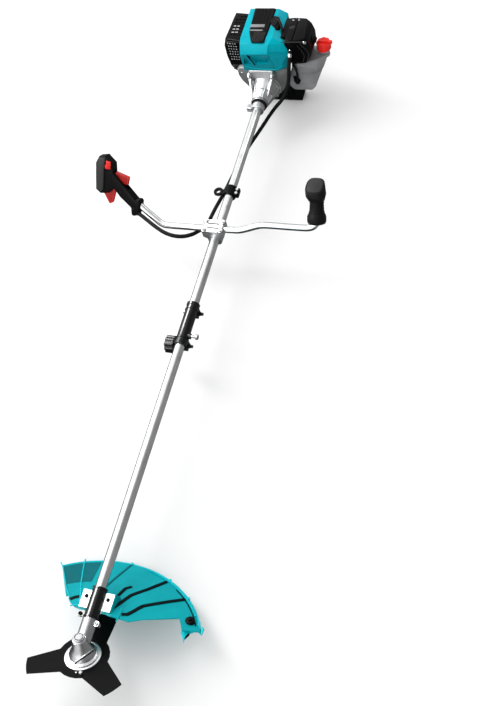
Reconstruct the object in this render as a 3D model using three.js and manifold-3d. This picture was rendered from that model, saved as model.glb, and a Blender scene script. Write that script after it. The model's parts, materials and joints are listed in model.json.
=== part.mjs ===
// A two-handed brush cutter lying at rest on its engine stand and on the rim of its guard.
// Millimetres, +Z up. The shaft runs along Y: the blade is at -Y and the engine at +Y.
// The origin is the middle of the stand's base, on the floor.
import * as THREE from "three";
import { ConvexGeometry } from "three/addons/geometries/ConvexGeometry.js";
import { mergeVertices } from "three/addons/utils/BufferGeometryUtils.js";
import Module from "manifold-3d";

const wasm = await Module();
wasm.setup();

// ---- driving dimensions ----
const GAP = 0.3; // between pieces that touch
const TUBE_R = 13;
const TUBE_WALL = 1.5;
const SHAFT_R = 4;
const SHAFT_HEIGHT = 155; // shaft axis above the floor
const STAND_Y = 685; // stand's middle, measured from the handlebar clamp
const ENGINE_Y = 480; // engine's neck, measured from the handlebar clamp
const COUPLER = { front: -365, rear: -235, radius: 16.5, pinY: -334, clampZ: -23 };
const SPINDLE_Y = -1158; // where the spindle axis crosses the shaft axis
const SPINDLE_TILT = THREE.MathUtils.degToRad(28);
const BLADE = { radius: 127.5, hub: 61, root: 33, tip: 23, bore: 12.8, low: -29, high: -27.4, turn: 27.3 };
const GUARD = {
  centreX: -16, inner: 87, knee: 160, rim: 282, from: -34, to: 55, edge: 72, wall: 3, lip: -24.58,
};
const PLATE_Z = -3.6; // underside of the guard's bracket plates
const PLATE_SCREWS = [-27, 27];
const BAR_R = 9;
const BAR_HEIGHT = 25; // handlebar axis above the shaft axis
const BAR_RAKE = THREE.MathUtils.degToRad(55); // plane of the arms above the shaft axis
const TEETH = { pinion: 14, gear: 19 };
const BEVEL_LENGTH = 23; // cone distance of the bevel pair
const BORE_R = 20; // piston
const DRUM_R = 35;
const FLYWHEEL_R = 45;

// ---- solids ----
function solidOf(geometry) {
  const bare = new THREE.BufferGeometry();
  const flat = geometry.index ? geometry.toNonIndexed() : geometry;
  bare.setAttribute("position", flat.getAttribute("position"));
  const merged = mergeVertices(bare, 1e-3);
  const corners = [];
  const index = merged.index.array;
  for (let i = 0; i < index.length; i += 3) {
    const [a, b, c] = [index[i], index[i + 1], index[i + 2]];
    if (a !== b && b !== c && c !== a) corners.push(a, b, c);
  }
  const positions = merged.attributes.position.array;
  const build = (list) =>
    new wasm.Manifold(
      new wasm.Mesh({
        numProp: 3,
        vertProperties: positions,
        triVerts: new Uint32Array(list),
      }),
    );
  const made = build(corners);
  return made.volume() < 0 ? build(corners.reverse()) : made;
}

function geometryOf(solid) {
  const data = solid.getMesh();
  const positions = new Float32Array(data.numVert * 3);
  for (let i = 0; i < data.numVert; i++) {
    positions.set(data.vertProperties.subarray(i * data.numProp, i * data.numProp + 3), i * 3);
  }
  const geometry = new THREE.BufferGeometry();
  geometry.setAttribute("position", new THREE.BufferAttribute(positions, 3));
  geometry.setIndex(new THREE.BufferAttribute(data.triVerts, 1));
  const faceted = geometry.toNonIndexed();
  faceted.computeVertexNormals();
  return faceted;
}

const join = (first, ...rest) => rest.reduce((sum, next) => sum.add(next), first);
const cut = (first, ...rest) => rest.reduce((sum, next) => sum.subtract(next), first);

function block(x, y, z) {
  const box = new THREE.BoxGeometry(x[1] - x[0], y[1] - y[0], z[1] - z[0]);
  box.translate((x[0] + x[1]) / 2, (y[0] + y[1]) / 2, (z[0] + z[1]) / 2);
  return solidOf(box);
}

// A cone or cylinder from one point to another.
function taper(radiusFrom, radiusTo, from, to, sides = 20) {
  const start = new THREE.Vector3(...from);
  const along = new THREE.Vector3(...to).sub(start);
  const cone = new THREE.CylinderGeometry(radiusTo, radiusFrom, along.length(), sides);
  cone.translate(0, along.length() / 2, 0);
  const up = new THREE.Vector3(0, 1, 0);
  const turn = new THREE.Quaternion().setFromUnitVectors(up, along.clone().normalize());
  cone.applyQuaternion(turn);
  cone.translate(...from);
  return solidOf(cone);
}

const rod = (radius, from, to, sides = 20) => taper(radius, radius, from, to, sides);

// A body of revolution about Y through the origin: the profile lists [radius, y].
function turnedY(profile, sides = 32) {
  const points = profile.map(([radius, y]) => new THREE.Vector2(radius, y));
  return solidOf(new THREE.LatheGeometry(points, sides));
}

// A body of revolution about Z through the origin: the profile lists [radius, z].
function turnedZ(profile, sides = 32) {
  const points = profile.map(([radius, z]) => new THREE.Vector2(radius, z));
  return solidOf(new THREE.LatheGeometry(points, sides).rotateX(Math.PI / 2));
}

const hull = (points) =>
  solidOf(new ConvexGeometry(points.map((p) => new THREE.Vector3(...p))));

const shapeOf = (outline) => new THREE.Shape(outline.map(([x, y]) => new THREE.Vector2(x, y)));

// An outline in X and Y, raised along Z.
function raisedZ(outline, low, high, bevel = 0) {
  const shape = new THREE.ExtrudeGeometry(shapeOf(outline), {
    depth: high - low - 2 * bevel,
    bevelEnabled: bevel !== 0,
    bevelThickness: bevel,
    bevelSize: bevel,
    bevelOffset: -bevel,
    bevelSegments: 2,
    steps: 1,
  });
  return solidOf(shape.translate(0, 0, low + bevel));
}

// An outline in X and Z, drawn along Y.
function drawnY(outline, front, rear) {
  const shape = new THREE.ExtrudeGeometry(shapeOf(outline), {
    depth: rear - front,
    bevelEnabled: false,
  });
  return solidOf(shape.rotateX(Math.PI / 2).translate(0, rear, 0));
}

function pipe(points, radius, sides, steps) {
  const section = new THREE.Shape();
  for (let i = 0; i < sides; i++) {
    const angle = (2 * Math.PI * i) / sides;
    const place = [radius * Math.cos(angle), radius * Math.sin(angle)];
    if (i === 0) section.moveTo(...place);
    else section.lineTo(...place);
  }
  const vectors = points.map((p) => new THREE.Vector3(...p));
  const route = new THREE.CatmullRomCurve3(vectors, false, "centripetal");
  return solidOf(
    new THREE.ExtrudeGeometry(section, { steps, extrudePath: route, bevelEnabled: false }),
  );
}

// A ring sector about Z: the section lists [radius, z], and angles are measured from +Y towards +X.
function sector(section, fromDeg, toDeg, steps, centreX) {
  const listed = section.map(([r, z]) => new THREE.Vector2(r, z));
  const flat = THREE.ShapeUtils.isClockWise(listed) ? listed.reverse() : listed;
  const positions = [];
  const triangle = (...corners) => corners.forEach((c) => positions.push(...c));
  const ring = (k) => {
    const angle = THREE.MathUtils.degToRad(fromDeg + ((toDeg - fromDeg) * k) / steps);
    return flat.map((p) => [centreX + p.x * Math.sin(angle), p.x * Math.cos(angle), p.y]);
  };
  for (let k = 0; k < steps; k++) {
    const a = ring(k);
    const b = ring(k + 1);
    a.forEach((corner, i) => {
      const j = (i + 1) % a.length;
      triangle(corner, b[i], b[j]);
      triangle(corner, b[j], a[j]);
    });
  }
  const first = ring(0);
  const last = ring(steps);
  for (const [i, j, k] of THREE.ShapeUtils.triangulateShape(flat, [])) {
    triangle(first[i], first[j], first[k]);
    triangle(last[i], last[k], last[j]);
  }
  const geometry = new THREE.BufferGeometry();
  geometry.setAttribute("position", new THREE.Float32BufferAttribute(positions, 3));
  return solidOf(geometry);
}

// ---- finishes ----
const finish = (color, roughness, metalness) =>
  new THREE.MeshStandardMaterial({ color, roughness, metalness });
const teal = finish(0x0aa5b5, 0.4, 0);
const black = finish(0x17181a, 0.5, 0);
const rubber = finish(0x1c1c1d, 0.85, 0);
const silver = finish(0xc9cccf, 0.35, 0.9);
const castGrey = finish(0x8b8e91, 0.55, 0.6);
const steel = finish(0xaeb2b5, 0.3, 1);
const darkSteel = finish(0x232426, 0.45, 0.5);
const red = finish(0xd8231f, 0.4, 0);
const tankGrey = finish(0x9ea0a2, 0.4, 0);
const whiteSteel = finish(0xe4e6e8, 0.4, 0.4);
const foam = finish(0x3b3a38, 0.95, 0);

function add(group, name, solid, material) {
  const mesh = new THREE.Mesh(geometryOf(solid), material);
  mesh.name = name;
  group.add(mesh);
}

const ringAlong = (inner, outer, front, rear, sides = 28) =>
  turnedY([[inner, front], [outer, front], [outer, rear], [inner, rear], [inner, front]], sides);

// ---- shaft ----
function shaftTubes(group) {
  const bore = TUBE_R - TUBE_WALL;
  const pinHole = rod(4.2, [6, COUPLER.pinY, 0], [30, COUPLER.pinY, 0], 12);
  add(group, "upper_tube", ringAlong(bore, TUBE_R, -298, 508), silver);
  add(group, "lower_tube", cut(ringAlong(bore, TUBE_R, -1108, -302), pinHole), silver);
  add(group, "drive_shaft_upper", rod(SHAFT_R, [0, -299, 0], [0, 551, 0], 12), steel);
  add(group, "drive_shaft_lower", rod(SHAFT_R, [0, -1112, 0], [0, -300, 0], 12), steel);
  add(group, "shaft_bushing", ringAlong(SHAFT_R + GAP, bore - GAP, -700, -660, 20), rubber);
}

function coupler(group) {
  const { front, rear, radius, pinY, clampZ } = COUPLER;
  const sleeve = turnedY([
    [TUBE_R + GAP, front],
    [radius + 1.5, front],
    [radius + 1.5, front + 8],
    [radius, front + 9],
    [radius, rear - 9],
    [radius + 1.5, rear - 8],
    [radius + 1.5, rear],
    [TUBE_R + GAP, rear],
    [TUBE_R + GAP, front],
  ]);
  const lug = (y) => block([-13, 13], [y - 11, y + 11], [clampZ - 8, -10]);
  const bolt = (y) => rod(3.3, [-40, y, clampZ], [40, y, clampZ], 12);
  const boltYs = [front + 14, rear - 14];
  const boss = rod(8, [radius - 3, pinY, 0], [radius + 4, pinY, 0], 16);
  const bore = rod(TUBE_R + GAP, [0, front - 5, 0], [0, rear + 5, 0], 28);
  const split = block([-1, 1], [front - 5, rear + 5], [clampZ - 20, -5]);
  let body = join(sleeve, ...boltYs.map(lug), boss);
  body = cut(body, bore, split, ...boltYs.map(bolt));
  body = cut(body, rod(4.2, [8, pinY, 0], [30, pinY, 0], 16));
  add(group, "coupler_body", body, black);

  const ribs = 10;
  const outline = [];
  for (let i = 0; i < ribs * 4; i++) {
    const r = i % 4 < 2 ? 24 : 21.5;
    const angle = (2 * Math.PI * i) / (ribs * 4);
    outline.push([r * Math.cos(angle), r * Math.sin(angle)]);
  }
  const knob = new THREE.Group();
  knob.position.set(-22, front + 14, clampZ);
  knob.rotation.y = -Math.PI / 2;
  const grip = raisedZ(outline, 2, 26);
  const collar = rod(12, [0, 0, 0], [0, 0, 4], 16);
  const stud = rod(3, [0, 0, -46], [0, 0, 3], 12);
  add(knob, "coupler_knob", join(grip, collar, stud), black);
  group.add(knob);

  const pin = join(
    rod(3.8, [9, pinY, 0], [36, pinY, 0], 14),
    rod(7, [35, pinY, 0], [41, pinY, 0], 16),
  );
  add(group, "coupler_pin", pin, steel);
}

function harnessClamp(group) {
  const y = 150;
  const band = rod(19, [0, y - 15, 0], [0, y + 15, 0], 24);
  const lug = block([12, 27], [y - 13, y + 13], [-7, 7]);
  const eye = rod(14, [-36, y, -3.5], [-36, y, 3.5], 24);
  const web = block([-36, -14], [y - 8, y + 8], [-3.5, 3.5]);
  const bore = rod(TUBE_R + GAP, [0, y - 20, 0], [0, y + 20, 0], 28);
  const hole = rod(6, [-36, y, -10], [-36, y, 10], 20);
  const split = block([12, 40], [y - 20, y + 20], [-1, 1]);
  add(group, "harness_clamp", cut(join(band, lug, eye, web), bore, hole, split), black);
}

// ---- handlebar, in the raked plane of its arms: X across, Y up the plane ----
const BAR_ROUTE = [
  [-262, 84], [-225, 56], [-190, 28], [-172, 14], [-160, 5], [-147, 0.7], [-130, 0],
  [-60, 0], [0, 0], [60, 0], [76, 1.5], [92, 6], [122, 16], [137, 19.5], [152, 20.5],
  [250, 20.5], [268, 21.5], [281, 25.5], [289, 33], [292, 43], [292, 90], [292, 142],
].map(([x, y]) => [x, y, 0]);

function handlebar(group) {
  add(group, "handlebar", pipe(BAR_ROUTE, BAR_R, 12, 64), silver);
  const grip = new THREE.Group();
  grip.position.set(292, 0, 0);
  const r = BAR_R + GAP;
  const body = turnedY([
    [r + 2, 40], [20, 40], [25, 44], [26, 56], [20, 66], [18.5, 82], [19.5, 100],
    [25, 108], [26.5, 124], [25.5, 146], [20, 157], [0, 160], [0, 146], [r + 2, 146], [r + 2, 40],
  ], 20);
  add(grip, "grip_left", body, rubber);
  group.add(grip);
}

function barClamp(group) {
  const half = 30;
  const length = 21;
  const tube = rod(TUBE_R + GAP, [0, -60, 0], [0, 60, 0], 28);
  const bar = rod(BAR_R + GAP, [-60, 0, BAR_HEIGHT], [60, 0, BAR_HEIGHT], 24);
  const saddle = drawnY(
    [[-half, BAR_HEIGHT - GAP], [-half, 13], [-19, 6], [-19, -11], [-11, -18],
      [11, -18], [19, -11], [19, 6], [half, 13], [half, BAR_HEIGHT - GAP]],
    -length, length,
  );
  add(group, "bar_clamp_base", cut(saddle, tube, bar), silver);
  const top = BAR_HEIGHT + 13;
  const cap = drawnY(
    [[-half, BAR_HEIGHT + GAP], [half, BAR_HEIGHT + GAP], [half, top - 4], [half - 4, top],
      [4 - half, top], [-half, top - 4]],
    -length, length,
  );
  add(group, "bar_clamp_cap", cut(cap, bar), silver);
}

// ---- trigger grip, in the plane of the arms ----
const GRIP_OUTLINE = [
  [-288, 143], [-287, 170], [-308, 192], [-328, 190], [-340, 172], [-348, 96], [-334, 84],
  [-308, 87], [-291, 100], [-274, 76], [-244, 48], [-244, 28], [-238, 24], [-225, 26],
  [-216, 50], [-213, 64], [-217, 71], [-227, 71],
];
const GRIP_ROOM = [
  [-293, 141], [-292, 167], [-310, 186], [-325, 185], [-335, 170], [-342, 99], [-332, 90],
  [-310, 93], [-291, 108], [-270, 80], [-262, 72], [-250, 90],
];
const GRIP_HALF = 17;
const GRIP_WALL = 3.5;
const TRIGGER_PIVOT = [-318, 108];
const LOCK_PIVOT = [-290, 128];
const SWITCH_AT = [-304, 163];
const SWITCH_TURN = THREE.MathUtils.degToRad(-35);

function switchPocket() {
  const across = [Math.cos(SWITCH_TURN), Math.sin(SWITCH_TURN)];
  const up = [-across[1], across[0]];
  return raisedZ([[-7.5, -12], [7.5, -12], [7.5, 12], [-7.5, 12]].map(([x, y]) => [
    SWITCH_AT[0] + x * across[0] + y * up[0],
    SWITCH_AT[1] + x * across[1] + y * up[1],
  ]), 0, 30);
}

function gripHalf(side) {
  const outer = raisedZ(GRIP_OUTLINE, -GRIP_HALF, GRIP_HALF, 6);
  const shell = side > 0
    ? block([-400, -150], [-20, 240], [GAP / 2, 30])
    : block([-400, -150], [-20, 240], [-30, -GAP / 2]);
  const room = raisedZ(GRIP_ROOM, GRIP_WALL - GRIP_HALF, GRIP_HALF - GRIP_WALL);
  const bar = pipe(BAR_ROUTE.slice(0, 6), BAR_R + 0.6, 16, 20);
  const triggerSlot = block([-334, -280], [60, 112], [-7, 7]);
  const lockSlot = raisedZ([[-298, 118], [-252, 94], [-236, 112], [-290, 154]], -7, 7);
  const cableHole = rod(6.4, [-198, 18.5, 15.5], [-236, 38.3, 6], 10);
  const half = cut(outer.intersect(shell), room, bar, triggerSlot, lockSlot, cableHole);
  return side > 0 ? cut(half, switchPocket()) : half;
}

function triggerGrip(group) {
  add(group, "trigger_grip_front", gripHalf(1), black);
  add(group, "trigger_grip_rear", gripHalf(-1), black);

  const trigger = new THREE.Group();
  trigger.position.set(...TRIGGER_PIVOT, 0);
  const blade = [[-5, 4], [-10, -24], [4, -55], [15, -51], [27, -18], [18, -2], [5, 6]];
  const eye = rod(2.5, [0, 0, -9], [0, 0, 9], 12);
  add(trigger, "throttle_trigger", cut(raisedZ(blade, -5, 5, 1), eye), red);
  group.add(trigger);

  const lock = new THREE.Group();
  lock.position.set(...LOCK_PIVOT, 0);
  const lever = [[-6, -2], [-2, 8], [7, 18], [44, 4], [38, -18], [28, -16], [6, -8], [-2, -6]];
  const hole = rod(2, [0, 0, -9], [0, 0, 9], 12);
  add(lock, "lockout_lever", cut(raisedZ(lever, -5, 5, 1), hole), red);
  group.add(lock);

  const rocker = new THREE.Group();
  rocker.position.set(...SWITCH_AT, 12);
  rocker.rotation.z = SWITCH_TURN;
  const face = drawnX([[-9, -4], [9, -4], [9, 5], [0, 7.5], [-9, 5]], -6, 6);
  add(rocker, "stop_switch", face, red);
  group.add(rocker);
}

// An outline in Y and Z, drawn along X.
function drawnX(outline, from, to) {
  const shape = new THREE.ExtrudeGeometry(shapeOf(outline), {
    depth: to - from,
    bevelEnabled: false,
  });
  const turn = new THREE.Matrix4().makeBasis(
    new THREE.Vector3(0, 1, 0),
    new THREE.Vector3(0, 0, 1),
    new THREE.Vector3(1, 0, 0),
  );
  return solidOf(shape.applyMatrix4(turn).translate(from, 0, 0));
}

// ---- throttle cable, from the carburettor down under the shaft to the trigger grip ----
const CABLE_R = 5;
const CABLE_ROUTE = [
  [95, 593, 120], [94, 582, 108], [91, 572, 88], [87, 565, 60], [81, 558, 28], [70, 548, 0],
  [56, 534, -22],
  [40, 518, -34], [28, 485, -36], [20, 448, -34], [11, 407, -31], [-1, 356, -28],
  [-8, 323, -27], [-16, 270, -26], [-24, 215, -26], [-31, 165, -26], [-37, 130, -25],
  [-42, 98, -24], [-46, 60, -22], [-50, 28, -12], [-54, 4, 4], [-64, -16, 14],
  [-83, -32, 23], [-107, -38, 30], [-133, -35, 36], [-160, -24, 42], [-186, -10, 48],
  [-212, 5, 53], [-226, 12, 57],
];

function throttleCable(group) {
  add(group, "throttle_cable", pipe(CABLE_ROUTE, CABLE_R, 10, 60), rubber);
}

// ---- guard, fixed under the lower tube ----
const toHead = (group) => {
  group.position.set(0, SPINDLE_Y, 0);
  group.rotation.x = -SPINDLE_TILT;
  group.updateMatrix();
  return group;
};

function inShaftFrame(solid) {
  const head = toHead(new THREE.Group());
  const geometry = geometryOf(solid);
  return solidOf(geometry.applyMatrix4(head.matrix));
}

function guard(group) {
  const { centreX, inner, knee, rim, from, to, edge, wall, lip } = GUARD;
  const fan = sector(
    [[edge, 38], [inner, 38], [knee, 25], [rim, -13], [rim + 2, -17], [rim + 2, lip],
      [rim - 1, lip], [rim - 1, -17], [knee, 25 - wall], [inner, 38 - wall], [edge, 38 - wall]],
    from, to, 24, centreX,
  );
  const front = raisedZ([[200, 0], [200, edge], [-27, edge], [-50, 77], [-66, 88], [-76, 98],
    [-84, 114], [-140, 60], [-140, 0]], 0, 60);
  const shell = cut(fan, front);
  const horn = sector(
    [[rim - 42, 0], [rim, -13], [rim + 2, -17], [rim + 2, lip], [rim - 1, lip],
      [rim - 4, -17], [rim - 42, -4]],
    to - 1, to + 9, 4, centreX,
  );
  const pad = hull([-41, 41].flatMap((x) => [
    [x, -1070, PLATE_Z - 0.3], [x, -1026, PLATE_Z - 0.3], [x, -1070, -12], [x, -1026, -38],
  ]));
  const seat = rod(20.4, [0, -1110, 0], [0, -980, 0], 28);
  const screws = PLATE_SCREWS.map((x) => rod(3, [x, -1044, -60], [x, -1044, 10], 12));
  const above = block([-44, 44], [-1100, -1000], [PLATE_Z - 0.3, 30]);
  const body = cut(join(inShaftFrame(join(shell, horn)), pad), seat, above, ...screws);
  add(group, "guard", body, teal);
}

function guardFixings(group) {
  const plate = (side) =>
    block([side > 0 ? 15 : -39, side > 0 ? 39 : -15], [-1070, -1029], [PLATE_Z, PLATE_Z + 2.6]);
  const strap = cut(
    rod(20, [0, -1066, 0], [0, -1032, 0], 28),
    rod(17.4, [0, -1080, 0], [0, -1000, 0], 28),
    block([-30, 30], [-1090, -990], [PLATE_Z + 2.6, 30]),
  );
  const clear = rod(17.4, [0, -1080, 0], [0, -1000, 0], 28);
  const holes = PLATE_SCREWS.map((x) => rod(3, [x, -1044, -60], [x, -1044, 10], 12));
  const bracket = cut(join(strap, plate(-1), plate(1)), clear, ...holes);
  add(group, "guard_bracket", bracket, whiteSteel);

  const band = rod(17, [0, -1092, 0], [0, -1020, 0], 28);
  const ear = block([-31, -10], [-1092, -1080], [-4, 4]);
  const bore = rod(TUBE_R + GAP, [0, -1100, 0], [0, -1000, 0], 28);
  const split = block([-40, -10], [-1100, -1000], [-0.8, 0.8]);
  add(group, "guard_saddle", cut(join(band, ear), bore, split), black);
}

function lineCutter(head) {
  const outline = [[196, 150], [212, 150], [219, 136], [214, 122], [216, 108], [209, 92],
    [203, 106], [199, 120], [192, 134]];
  add(head, "line_cutter", raisedZ(outline, -17, -15.2), darkSteel);
}

// ---- gear head, in the frame of the spindle: Z along the spindle axis ----
const SHAFT_WAY = [0, Math.cos(SPINDLE_TILT), Math.sin(SPINDLE_TILT)]; // shaft axis, towards the engine
const alongShaft = (distance) => SHAFT_WAY.map((v) => v * distance);

function gearCase(head) {
  const body = turnedZ([
    [0, 34], [12, 34], [13.5, 32.5], [13.5, 27], [15.6, 26], [17.4, 18], [19.6, 8], [24, -4],
    [29, -12], [31, -18], [36, -20], [36, -23.4], [0, -23.4],
  ], 36);
  const sleeve = rod(17.5, alongShaft(10), alongShaft(64), 28);
  const ear = rod(6.5, [20, 52.4, 20.3], [20, 46.4, 32.3], 14);
  const socket = rod(TUBE_R + GAP, alongShaft(46), alongShaft(90), 28);
  const pinionRoom = rod(12, alongShaft(6), alongShaft(50), 24);
  const gearRoom = turnedZ([[0, 29], [6.4, 29], [6.4, 22], [13.9, 22], [13.9, 8], [17, -2],
    [22, -10], [25, -16], [26, -26], [0, -26]], 28);
  const split = rod(1, [21, ...alongShaft(84).slice(1)], [21, ...alongShaft(46).slice(1)], 8);
  const shell = cut(join(body, sleeve, ear), socket, pinionRoom, gearRoom, split);
  add(head, "gear_case", shell, silver);
}

// A bevel gear with its apex at the origin and its axis along +Z. The teeth stop just short of
// the pitch cone, so that a meshing pair turns without touching.
function bevelGear(teeth, coneAngle, bore) {
  const pitch = BEVEL_LENGTH * Math.sin(coneAngle);
  const height = BEVEL_LENGTH * Math.cos(coneAngle);
  const outline = [];
  for (let i = 0; i < teeth; i++) {
    for (const [share, radius] of [[0.05, 0.82], [0.3, 0.82], [0.42, 0.965], [0.63, 0.965]]) {
      const angle = (2 * Math.PI * (i + share + 0.16)) / teeth;
      outline.push([radius * pitch * Math.cos(angle), radius * pitch * Math.sin(angle)]);
    }
  }
  const near = 0.66;
  const shape = new THREE.ExtrudeGeometry(shapeOf(outline), { depth: 1, bevelEnabled: false });
  const place = shape.attributes.position;
  for (let i = 0; i < place.count; i++) {
    const scale = place.getZ(i) > 0.5 ? 1 : near;
    place.setXYZ(i, place.getX(i) * scale, place.getY(i) * scale, height * scale);
  }
  const hole = rod(bore, [0, 0, 0], [0, 0, 60], 20);
  const hub = rod(0.72 * pitch, [0, 0, height - 0.5], [0, 0, height + 3], 20);
  return cut(join(solidOf(shape), hub), hole);
}

function gearTrain(head, shaft) {
  const open = Math.PI / 2 - SPINDLE_TILT; // angle between the shaft and the spindle
  const ratio = TEETH.gear / TEETH.pinion;
  const pinionCone = Math.atan2(Math.sin(open), ratio + Math.cos(open));
  add(head, "bevel_gear", bevelGear(TEETH.gear, open - pinionCone, 6 + GAP), steel);
  const pinion = new THREE.Group();
  pinion.position.set(0, SPINDLE_Y, 0);
  pinion.rotation.x = -Math.PI / 2;
  const toothed = bevelGear(TEETH.pinion, pinionCone, SHAFT_R + GAP);
  const neck = cut(rod(7, [0, 0, 22], [0, 0, 44], 18), rod(SHAFT_R + GAP, [0, 0, 0], [0, 0, 60], 20));
  add(pinion, "bevel_pinion", join(toothed, neck), steel);
  shaft.add(pinion);
}

function bladeOutline() {
  const { radius, hub, root, tip, turn } = BLADE;
  const outline = [];
  const put = (r, side, angle) => {
    const lean = Math.asin(side / r);
    outline.push([r * Math.cos(angle + lean), r * Math.sin(angle + lean)]);
  };
  for (let tooth = 0; tooth < 3; tooth++) {
    const angle = THREE.MathUtils.degToRad(turn + 180 + 120 * tooth);
    put(hub, -root, angle);
    for (const side of [-tip, -tip / 2, 0, tip / 2, tip]) put(radius, side, angle);
    put(hub, root, angle);
    const start = Math.asin(root / hub);
    const span = (2 * Math.PI) / 3 - 2 * start;
    for (const share of [0.25, 0.5, 0.75]) {
      const at = angle + start + span * share;
      outline.push([hub * Math.cos(at), hub * Math.sin(at)]);
    }
  }
  return outline;
}

function bladeSet(head) {
  const { bore, low, high } = BLADE;
  const spindle = turnedZ([[0, 25], [6, 25], [6, -34], [5, -35], [5, -47], [0, -47]], 20);
  add(head, "spindle", spindle, steel);
  const holder = turnedZ([
    [6 + GAP, -21], [11, -21], [11, -23.8], [40, -23.8], [42, -25], [42, high + GAP],
    [bore - GAP, high + GAP], [bore - GAP, low], [6 + GAP, low], [6 + GAP, -21],
  ], 40);
  add(head, "blade_holder", holder, silver);
  const hole = rod(bore, [0, 0, low - 5], [0, 0, high + 5], 28);
  add(head, "blade", cut(raisedZ(bladeOutline(), low, high), hole), darkSteel);
  const flange = turnedZ([[0, low - GAP], [24, low - GAP], [24, -31], [15, -37], [0, -37]], 28);
  const hexagon = rod(10.5, [0, 0, -36], [0, 0, -44], 6);
  const thread = rod(6 + GAP, [0, 0, -20], [0, 0, -60], 20);
  add(head, "blade_nut", cut(join(flange, hexagon), thread), steel);
}

// ---- engine, in a frame whose Y starts at the neck ----
function clutch(engine) {
  const ear = block([-33, -16], [-12, 5], [-7, 7]);
  const collar = join(rod(19.5, [0, -14, 0], [0, 6, 0], 28), ear);
  const bore = rod(TUBE_R + GAP, [0, -40, 0], [0, 30, 0], 28);
  const split = block([-40, -12], [-20, 10], [-0.8, 0.8]);
  add(engine, "neck_clamp", cut(collar, bore, split), silver);
  add(engine, "damper_ring", ringAlong(TUBE_R + GAP, 24, 6.5, 13.5), rubber);

  const cone = turnedY([
    [TUBE_R + GAP, 14], [23, 14], [25, 19], [31, 44], [42, 74], [47, 80], [48, 83], [48, 89.6],
    [38, 89.6], [38, 76], [22, 38], [22, 34], [TUBE_R + GAP, 34], [TUBE_R + GAP, 14],
  ], 40);
  const lugs = [45, 135, 225, 315].map((degrees) => {
    const angle = THREE.MathUtils.degToRad(degrees);
    const [x, z] = [46 * Math.cos(angle), 46 * Math.sin(angle)];
    return rod(6.5, [x, 68, z], [x, 88, z], 14);
  });
  const rib = (side) =>
    hull([[side * 20, 20, -2], [side * 20, 20, 2], [side * 28, 20, -2], [side * 28, 20, 2],
      [side * 36, 84, -2], [side * 36, 84, 2], [side * 46, 84, -2], [side * 46, 84, 2]]);
  const inside = turnedY([[0, 34], [22, 34], [22, 38], [38, 76], [38, 100], [0, 100]], 40);
  const housing = join(cone, ...lugs, rib(-1), rib(1));
  add(engine, "clutch_housing", cut(housing, inside), silver);

  const drum = turnedY([
    [SHAFT_R + GAP, 42], [9, 42], [9, 72], [DRUM_R - 2, 73], [DRUM_R, 75], [DRUM_R, 96],
    [DRUM_R - 2.5, 96], [DRUM_R - 2.5, 77], [SHAFT_R + GAP, 76], [SHAFT_R + GAP, 42],
  ], 32);
  add(engine, "clutch_drum", drum, steel);
}

function clutchRotor(engine) {
  const disc = rod(30.5, [0, 80, 0], [0, 94, 0], 28);
  const slot = (x, z) => block([x - 24, x + 24], [70, 110], [z - 1.5, z + 1.5]);
  const hole = rod(7 + GAP, [0, 70, 0], [0, 110, 0], 20);
  add(engine, "clutch_rotor", cut(disc, hole, slot(12, 15), slot(-12, -15)), darkSteel);
}

const FAN_OUTLINE = [
  [-72, 64], [-82, 54], [-82, 34], [-76, 14], [-62, -8], [-48, -30], [-32, -48], [-14, -57],
  [14, -57], [32, -48], [48, -30], [64, -8], [78, 14], [84, 34], [84, 54], [74, 64],
];

function fanHousing(engine) {
  const ring = (share, y) => FAN_OUTLINE.map(([x, z]) => [x * share, y, 4 + (z - 4) * share]);
  const outer = hull([...ring(0.68, 90), ...ring(0.97, 98), ...ring(1, 103), ...ring(1, 112)]);
  const inner = hull([...ring(0.64, 93.5), ...ring(0.92, 101), ...ring(0.94, 108.5)]);
  const hole = rod(44, [0, 80, 0], [0, 100, 0], 32);
  const collar = rod(FLYWHEEL_R + 4, [0, 100, 0], [0, 126.5, 0], 32);
  const way = rod(FLYWHEEL_R + 1.2, [0, 100, 0], [0, 130, 0], 32);
  add(engine, "fan_housing", cut(join(cut(outer, inner), collar), hole, way), castGrey);

  const rim = turnedY([[7 + GAP, 99], [14, 99], [14, 108], [FLYWHEEL_R, 108], [FLYWHEEL_R, 118],
    [7 + GAP, 118], [7 + GAP, 99]], 32);
  const blades = [...Array(10).keys()].map((i) => {
    const angle = (2 * Math.PI * i) / 10;
    const [x, z] = [Math.cos(angle), Math.sin(angle)];
    return hull([[18, 0], [44, 2], [44, -2]].flatMap(([r, w]) => [100, 109].map((y) =>
      [r * x - w * z, y, r * z + w * x])).concat([[16 * x - z, 109, 16 * z + x]]));
  });
  add(engine, "flywheel", join(rim, ...blades), castGrey);
}

function crankTrain(engine) {
  const shaft = rod(7, [0, 84, 0], [0, 236, 0], 20);
  const web = (y) => rod(24, [0, y, 0], [0, y + 10, 0], 28);
  const pin = rod(6, [0, 155, 15], [0, 180, 15], 16);
  const gap = block([-30, 30], [159.9, 173.9], [-30, 8]);
  const crank = cut(join(shaft, web(150), web(174)), gap);
  add(engine, "crankshaft", join(crank, pin), steel);

  const body = drawnY([[-42, 44], [-42, -30], [-26, -55], [26, -55], [42, -30], [42, 44],
    [34, 50], [-34, 50]], 127, 233.4);
  const room = rod(27, [0, 142, 0], [0, 192, 0], 28);
  const bearings = rod(7 + GAP, [0, 100, 0], [0, 240, 0], 20);
  const mouth = rod(BORE_R + GAP, [0, 167, 0], [0, 167, 60], 28);
  add(engine, "crankcase", cut(body, room, bearings, mouth), castGrey);
}

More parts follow.
